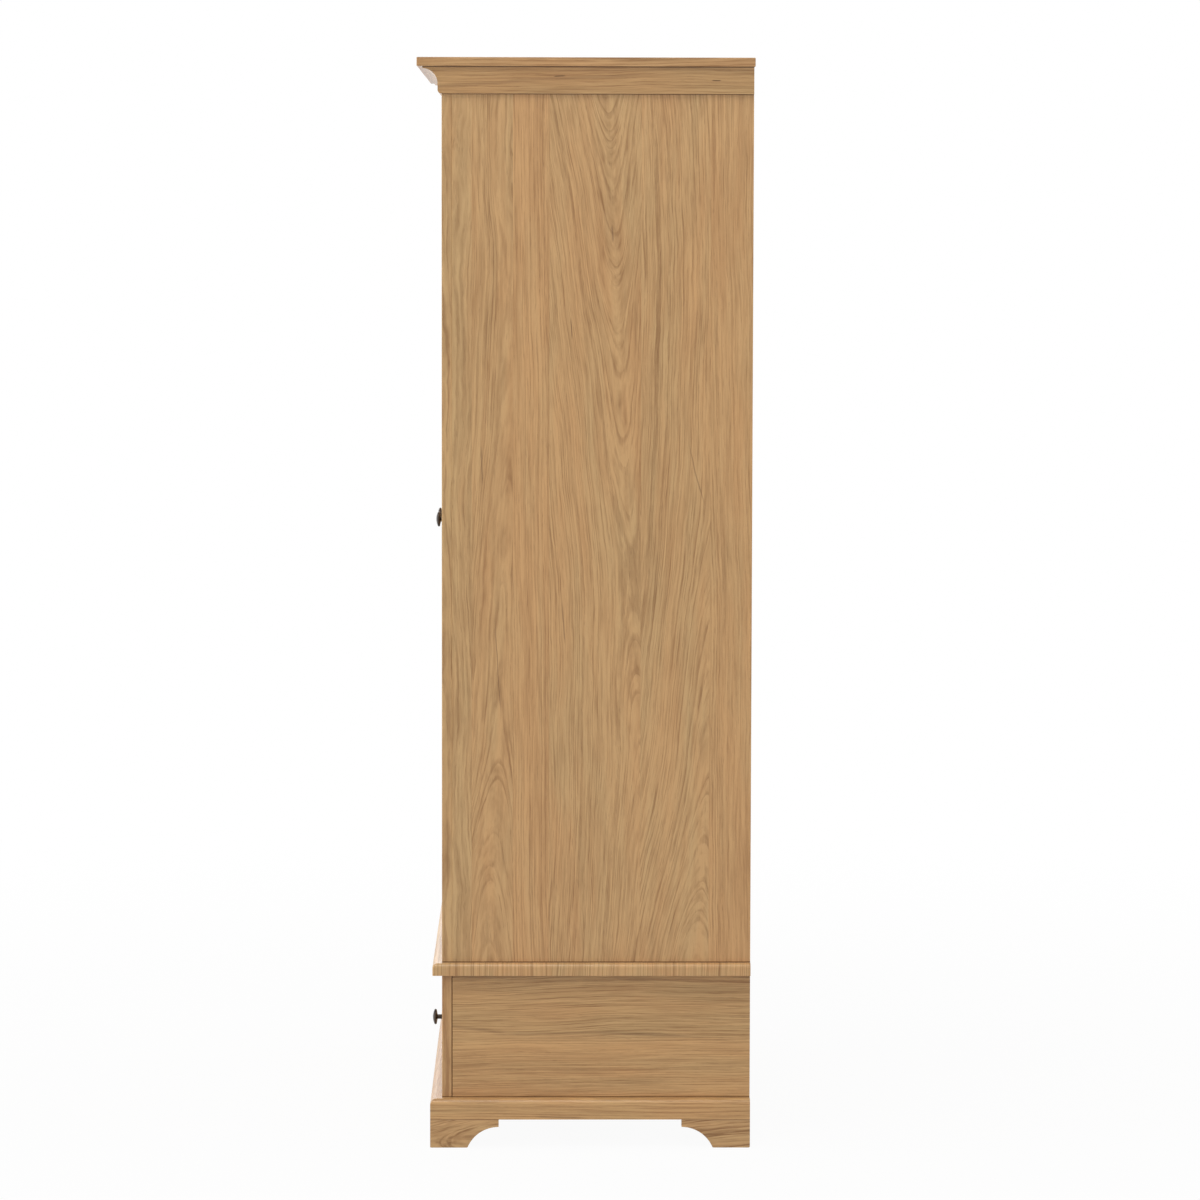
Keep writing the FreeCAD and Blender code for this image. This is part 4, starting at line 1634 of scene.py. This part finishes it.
@dataclass
class Door:
    """One framed door with its hardware."""

    joiner: Joiner
    hand: Hand
    bronze: bpy.types.Material
    hinge: bpy.types.Material
    steel: bpy.types.Material
    knob_place: Place = (0.062, -0.2348, 1.102)
    leaf_face: float = 0.4815
    screws: HingeScrews = HingeScrews()

    def dress(self) -> None:
        """Lacquers the door's boards and finishes its hardware."""
        door = f"{self.hand.value}_door"
        upright = ("hinge_stile", "meeting_stile", "upper_panel", "lower_panel")
        level = ("top_rail", "mid_rail", "bottom_rail")
        for seed, name in enumerate(upright + level, DOOR_SEEDS[self.hand]):
            lay = Lay.UPRIGHT_FRONT if name in upright else Lay.LEVEL_FRONT
            self.joiner.board(f"{door}_{name}", lay, seed=seed)
        self.joiner.dress(f"{door}_knob", self.bronze)
        self.joiner.dress(f"{door}_hinge_leaves", self.hinge)
        self.joiner.dress(f"{door}_strikes", self.steel)

    def build(self) -> None:
        """Sets the hinge screws and the knob's bolt."""
        door = f"{self.hand.value}_door"
        sign = self.hand.sign
        seats = self.screws.seats(sign * self.leaf_face, sign, 0)
        screw = self.screws.screw
        FastenerSet(
            f"{door}_hinge_screws", screw, door, "hinge_bronze", self.hinge, seats, seed=7
        ).build()
        x, y, z = self.knob_place
        bolt = [Seat((sign * x, y, z), (0.0, 1.0, 0.0))]
        FastenerSet(
            f"{door}_knob_bolt", KnobBolt(), door, "strike_steel", self.steel, bolt
        ).build()


@dataclass
class Drawer:
    """The drawer with its knobs."""

    joiner: Joiner
    bronze: bpy.types.Material
    steel: bpy.types.Material
    knob_spread: float = 0.320
    knob_height: float = 0.1995
    front_back: float = -0.236
    bottom_face: float = 0.1085
    screw_row: float = 0.256
    screw_spread: float = 0.36

    def dress(self) -> None:
        """Lacquers the drawer's boards and finishes its knobs."""
        self.joiner.board("drawer_front", Lay.LEVEL_FRONT, seed=71)
        self.joiner.board("drawer_left_side", Lay.LEVEL_SIDE, LINING, seed=72)
        self.joiner.board("drawer_right_side", Lay.LEVEL_SIDE, LINING, seed=73)
        self.joiner.board("drawer_back", Lay.LEVEL_FRONT, LINING, seed=74)
        self.joiner.board("drawer_bottom", Lay.FLAT_WIDE, LINING, seed=75)
        self.joiner.dress("drawer_knobs", self.bronze)

    def build(self) -> None:
        """Sets the knobs' bolts and the screws under the bottom."""
        bolts = [
            Seat((sign * self.knob_spread, self.front_back, self.knob_height), (0.0, 1.0, 0.0))
            for sign in SIDES
        ]
        FastenerSet(
            "drawer_knob_bolts", KnobBolt(), "drawer", "strike_steel", self.steel, bolts
        ).build()
        screws = [
            Seat((x, self.screw_row, self.bottom_face), (0.0, 0.0, -1.0))
            for x in (-self.screw_spread, 0.0, self.screw_spread)
        ]
        FastenerSet(
            "drawer_bottom_screws",
            SlottedScrew(),
            "drawer",
            "strike_steel",
            self.steel,
            screws,
            seed=9,
        ).build()


@dataclass
class Fittings:
    """The carcass's own hardware: hinge leaves, pins, rail, sockets and catches."""

    joiner: Joiner
    hinge: bpy.types.Material
    chrome: bpy.types.Material
    steel: bpy.types.Material
    plastic: bpy.types.Material
    leaf_face: float = 0.484
    screws: HingeScrews = HingeScrews()
    socket_face: float = 0.507
    socket_axis: Range = (0.0276, 1.760)
    socket_circle: float = 0.019
    socket_turns: tuple[float, ...] = (30.0, 150.0, 270.0)
    socket_screw: SlottedScrew = SlottedScrew(radius=2.0, slot=0.6, rim=0.3)
    catch_heights: Range = (0.406, 1.7685)
    catch_front: float = -0.2343
    catch_back: float = -0.2223
    catch_spread: float = 0.012
    pole_place: float = 0.032
    back_face: float = 0.296
    pin_column: float = 0.5145
    pin_margin: float = 0.02
    pin_step: float = 0.15

    def dress(self) -> None:
        """Finishes the metal and plastic nodes."""
        self.joiner.dress("hinge_frame_leaves", self.hinge)
        self.joiner.dress("hinge_pins", self.hinge)
        self.joiner.dress("hanging_rail", self.chrome)
        self.joiner.dress("rail_sockets", self.chrome)
        self.joiner.dress("door_catches", self.plastic)

    def build(self) -> None:
        """Sets the screws, plates and pins of the carcass."""
        hinges = []
        for hand in Hand:
            hinges += self.screws.seats(hand.sign * self.leaf_face, -hand.sign, 1)
        FastenerSet(
            "hinge_frame_screws",
            self.screws.screw,
            "carcass",
            "hinge_bronze",
            self.hinge,
            hinges,
            seed=8,
        ).build()
        FastenerSet(
            "socket_screws",
            self.socket_screw,
            "carcass",
            "rail_chrome",
            self.chrome,
            self._socket_seats(),
            seed=10,
        ).build()
        plates = []
        screws = []
        for height in self.catch_heights:
            for sign in SIDES:
                pole = (sign * self.pole_place, self.catch_front, height)
                plates.append(Seat(pole, (0.0, -1.0, 0.0)))
                hole = (0.0, self.catch_back, height + sign * self.catch_spread)
                screws.append(Seat(hole, (0.0, 1.0, 0.0)))
        FastenerSet(
            "catch_pole_plates",
            MagnetPlate(),
            "carcass",
            "strike_steel",
            self.steel,
            plates,
            turned=False,
        ).build()
        FastenerSet(
            "catch_screws", SlottedScrew(), "carcass", "strike_steel", self.steel, screws, seed=11
        ).build()
        FastenerSet(
            "back_pins", PanelPin(), "carcass", "strike_steel", self.steel, self._pin_seats()
        ).build()

    def _socket_seats(self) -> list[Seat]:
        """Lists the seats of the screws in the rail's socket flanges.

        Returns:
            The seats.
        """
        seats = []
        for hand in Hand:
            for turn in self.socket_turns:
                angle = math.radians(turn)
                y = self.socket_axis[0] + self.socket_circle * math.cos(angle)
                z = self.socket_axis[1] + self.socket_circle * math.sin(angle)
                seats.append(Seat((hand.sign * self.socket_face, y, z), (-hand.sign, 0.0, 0.0)))
        return seats

    def _pin_seats(self) -> list[Seat]:
        """Lists the seats of the pins along the sides of the two back panels.

        Returns:
            The seats.
        """
        seats = []
        for panel in ("upper_back", "base_back"):
            low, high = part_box(panel)
            length = high.z - low.z - 2.0 * self.pin_margin
            rows = max(2, round(length / self.pin_step))
            for row in range(rows + 1):
                z = low.z + self.pin_margin + length * row / rows
                for sign in SIDES:
                    head = (sign * self.pin_column, self.back_face, z)
                    seats.append(Seat(head, (0.0, 1.0, 0.0)))
        return seats


@dataclass(frozen=True)
class Lamp:
    """A square soft lamp.

    Attributes:
        name: Its name.
        place: Where it hangs, in metres.
        aim: What it faces.
        size: Its side.
        power: Its power in watts.
        glints: Whether it shows in polished surfaces.
    """

    name: str
    place: Place
    aim: Place
    size: float
    power: float
    glints: bool = True

    def hang(self) -> None:
        """Hangs the lamp."""
        lamp = bpy.data.lights.new(self.name, "AREA")
        lamp.shape = "SQUARE"
        lamp.size = self.size
        lamp.energy = self.power
        holder = bpy.data.objects.new(self.name, lamp)
        holder.location = self.place
        ray = Vector(self.aim) - Vector(self.place)
        holder.rotation_euler = ray.to_track_quat("-Z", "Y").to_euler()
        holder.visible_glossy = self.glints
        bpy.context.scene.collection.objects.link(holder)


@dataclass
class Studio:
    """White room, soft lamps and the camera at the picture's place.

    Attributes:
        eye: Where the camera stands, in metres.
        turn: How far it is turned from straight across, in radians.
        tilt: How far it looks up.
        roll: How far it leans.
        focus: Its focal length, in pixels of the frame.
        frame: Width of the frame, in pixels.
        sensor: Width of its sensor, in millimetres.
        sight: How far it sees.
        sky: Strength of the room's even light.
        floor_size: Side of the floor.
        paper: Noise of the floor's paper.
        paper_pale: Its palest colour.
        paper_dark: Its darkest colour.
        shadow_reach: How far from the wardrobe the floor's shadows fade.
        shadow_glow: How much of the floor under the wardrobe is plain white to the eye.
        lamps: The soft lamps.
    """

    eye: Place = (9.0, -0.08, 1.659)
    turn: float = 0.01258
    tilt: float = -0.07923
    roll: float = 0.0021
    focus: float = 4756.3
    frame: float = 1200.0
    sensor: float = 36.0
    sight: float = 200.0
    sky: float = 0.40
    floor_size: float = 60.0
    paper: Cells = Cells(300.0, 300.0, 0.0)
    paper_pale: Colour = paint(204, 204, 204)
    paper_dark: Colour = paint(198, 198, 198)
    shadow_reach: Range = (0.7, 4.0)
    shadow_glow: float = 0.95
    lamps: tuple[Lamp, ...] = (
        Lamp("front_softbox", (0.6, -5.4, 1.9), (0.2, 0.0, 1.0), 3.6, 240.0, False),
        Lamp("side_softbox", (6.2, 0.9, 3.4), (0.4, 0.0, 1.0), 3.2, 86.0, False),
        Lamp("back_softbox", (-0.6, 5.6, 3.0), (0.0, 0.0, 1.0), 3.6, 150.0, False),
        Lamp("left_softbox", (-5.6, -1.2, 3.4), (-0.4, 0.0, 1.0), 3.2, 90.0),
        Lamp("top_softbox", (4.0, -1.5, 8.0), (0.3, 0.0, 1.0), 3.6, 230.0),
    )

    def build(self) -> None:
        """Sets up the room, the lamps and the camera."""
        self._floor()
        self._world()
        for lamp in self.lamps:
            lamp.hang()
        self._camera()
        bpy.context.scene.view_settings.view_transform = "Standard"

    def _floor(self) -> None:
        """Lays the white floor."""
        bpy.ops.object.select_all(action="DESELECT")
        bpy.ops.mesh.primitive_plane_add(size=self.floor_size, location=(0.0, 0.0, 0.0))
        floor = bpy.context.object
        floor.name = "studio_floor"
        material, graph = new_finish("studio_paper")
        x, y, _ = graph.place()
        speck = graph.noise(self.paper, (x, y, 0.0))
        colour = graph.mix(speck, self.paper_pale, self.paper_dark)
        paper = graph.node("ShaderNodeBsdfDiffuse", None, {"Color": colour})
        glow = graph.node("ShaderNodeEmission", None, {"Color": WHITE, "Strength": 1.0})
        reach = (x * x + y * y).root()
        seen = self._seen(graph) * reach.eased(*self.shadow_reach, self.shadow_glow, 1.0)
        shaders = {0: seen, 1: paper.outputs[0], 2: glow.outputs[0]}
        both = graph.node("ShaderNodeMixShader", None, shaders)
        graph.node("ShaderNodeOutputMaterial", None, {0: both.outputs[0]})
        floor.data.materials.append(material)

    @staticmethod
    def _seen(graph: Graph) -> Value:
        """Gives 1 for what the camera sees, straight or in metal and glass.

        Args:
            graph: The graph.

        Returns:
            The value.
        """
        path = graph.node("ShaderNodeLightPath").outputs
        camera = Value(graph, path["Is Camera Ray"])
        glossy = Value(graph, path["Is Glossy Ray"])
        through = Value(graph, path["Is Transmission Ray"])
        return camera.larger(glossy).larger(through)

    def _world(self) -> None:
        """Fills the room with even light, white to the eye."""
        world = bpy.data.worlds.new("studio_room")
        world.use_nodes = True
        bpy.context.scene.world = world
        graph = Graph(world.node_tree)
        even = {"Color": WHITE, "Strength": self.sky}
        light = graph.node("ShaderNodeBackground", None, even)
        white = graph.node("ShaderNodeBackground", None, {"Color": WHITE, "Strength": 1.0})
        shaders = {0: self._seen(graph), 1: light.outputs[0], 2: white.outputs[0]}
        both = graph.node("ShaderNodeMixShader", None, shaders)
        graph.node("ShaderNodeOutputWorld", None, {0: both.outputs[0]})

    def _camera(self) -> None:
        """Puts the camera where the picture was taken."""
        camera = bpy.data.cameras.new("picture_camera")
        camera.sensor_width = self.sensor
        camera.sensor_fit = "HORIZONTAL"
        camera.lens = self.focus * self.sensor / self.frame
        camera.clip_end = self.sight
        holder = bpy.data.objects.new("picture_camera", camera)
        ahead = Vector((
            -math.cos(self.turn) * math.cos(self.tilt),
            math.sin(self.turn) * math.cos(self.tilt),
            math.sin(self.tilt),
        ))
        level = Vector((math.sin(self.turn), math.cos(self.turn), 0.0))
        upward = level.cross(ahead)
        right = level * math.cos(self.roll) + upward * math.sin(self.roll)
        above = upward * math.cos(self.roll) - level * math.sin(self.roll)
        pose = Matrix((right, above, -ahead)).transposed().to_4x4()
        holder.matrix_world = Matrix.Translation(self.eye) @ pose
        bpy.context.scene.collection.objects.link(holder)
        bpy.context.scene.camera = holder


def corners(bounds: Any) -> list[list[float]]:
    """Gives a box as plain numbers."""
    return [[float(number) for number in corner] for corner in bounds]


def main() -> None:
    """Loads the frame, dresses and fits every sub-assembly, and lights the room."""
    logging.basicConfig(level=logging.INFO, format="%(name)s: %(message)s")
    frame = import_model()
    joiner = Joiner(frame["nodes"])
    bronze = DARK_BRONZE.material()
    hinge = HINGE_BRONZE.material()
    chrome = CHROME.material()
    steel = STEEL.material()
    plastic = CATCH_BROWN.material()
    for part in (Plinth(joiner), BasePart(joiner), UpperPart(joiner), Cornice(joiner)):
        part.dress()
    fitted = (
        *(Door(joiner, hand, bronze, hinge, steel) for hand in Hand),
        Drawer(joiner, bronze, steel),
        Fittings(joiner, hinge, chrome, steel, plastic),
    )
    for part in fitted:
        part.dress()
        part.build()
    Studio().build()


if __name__ == "__main__":
    main()
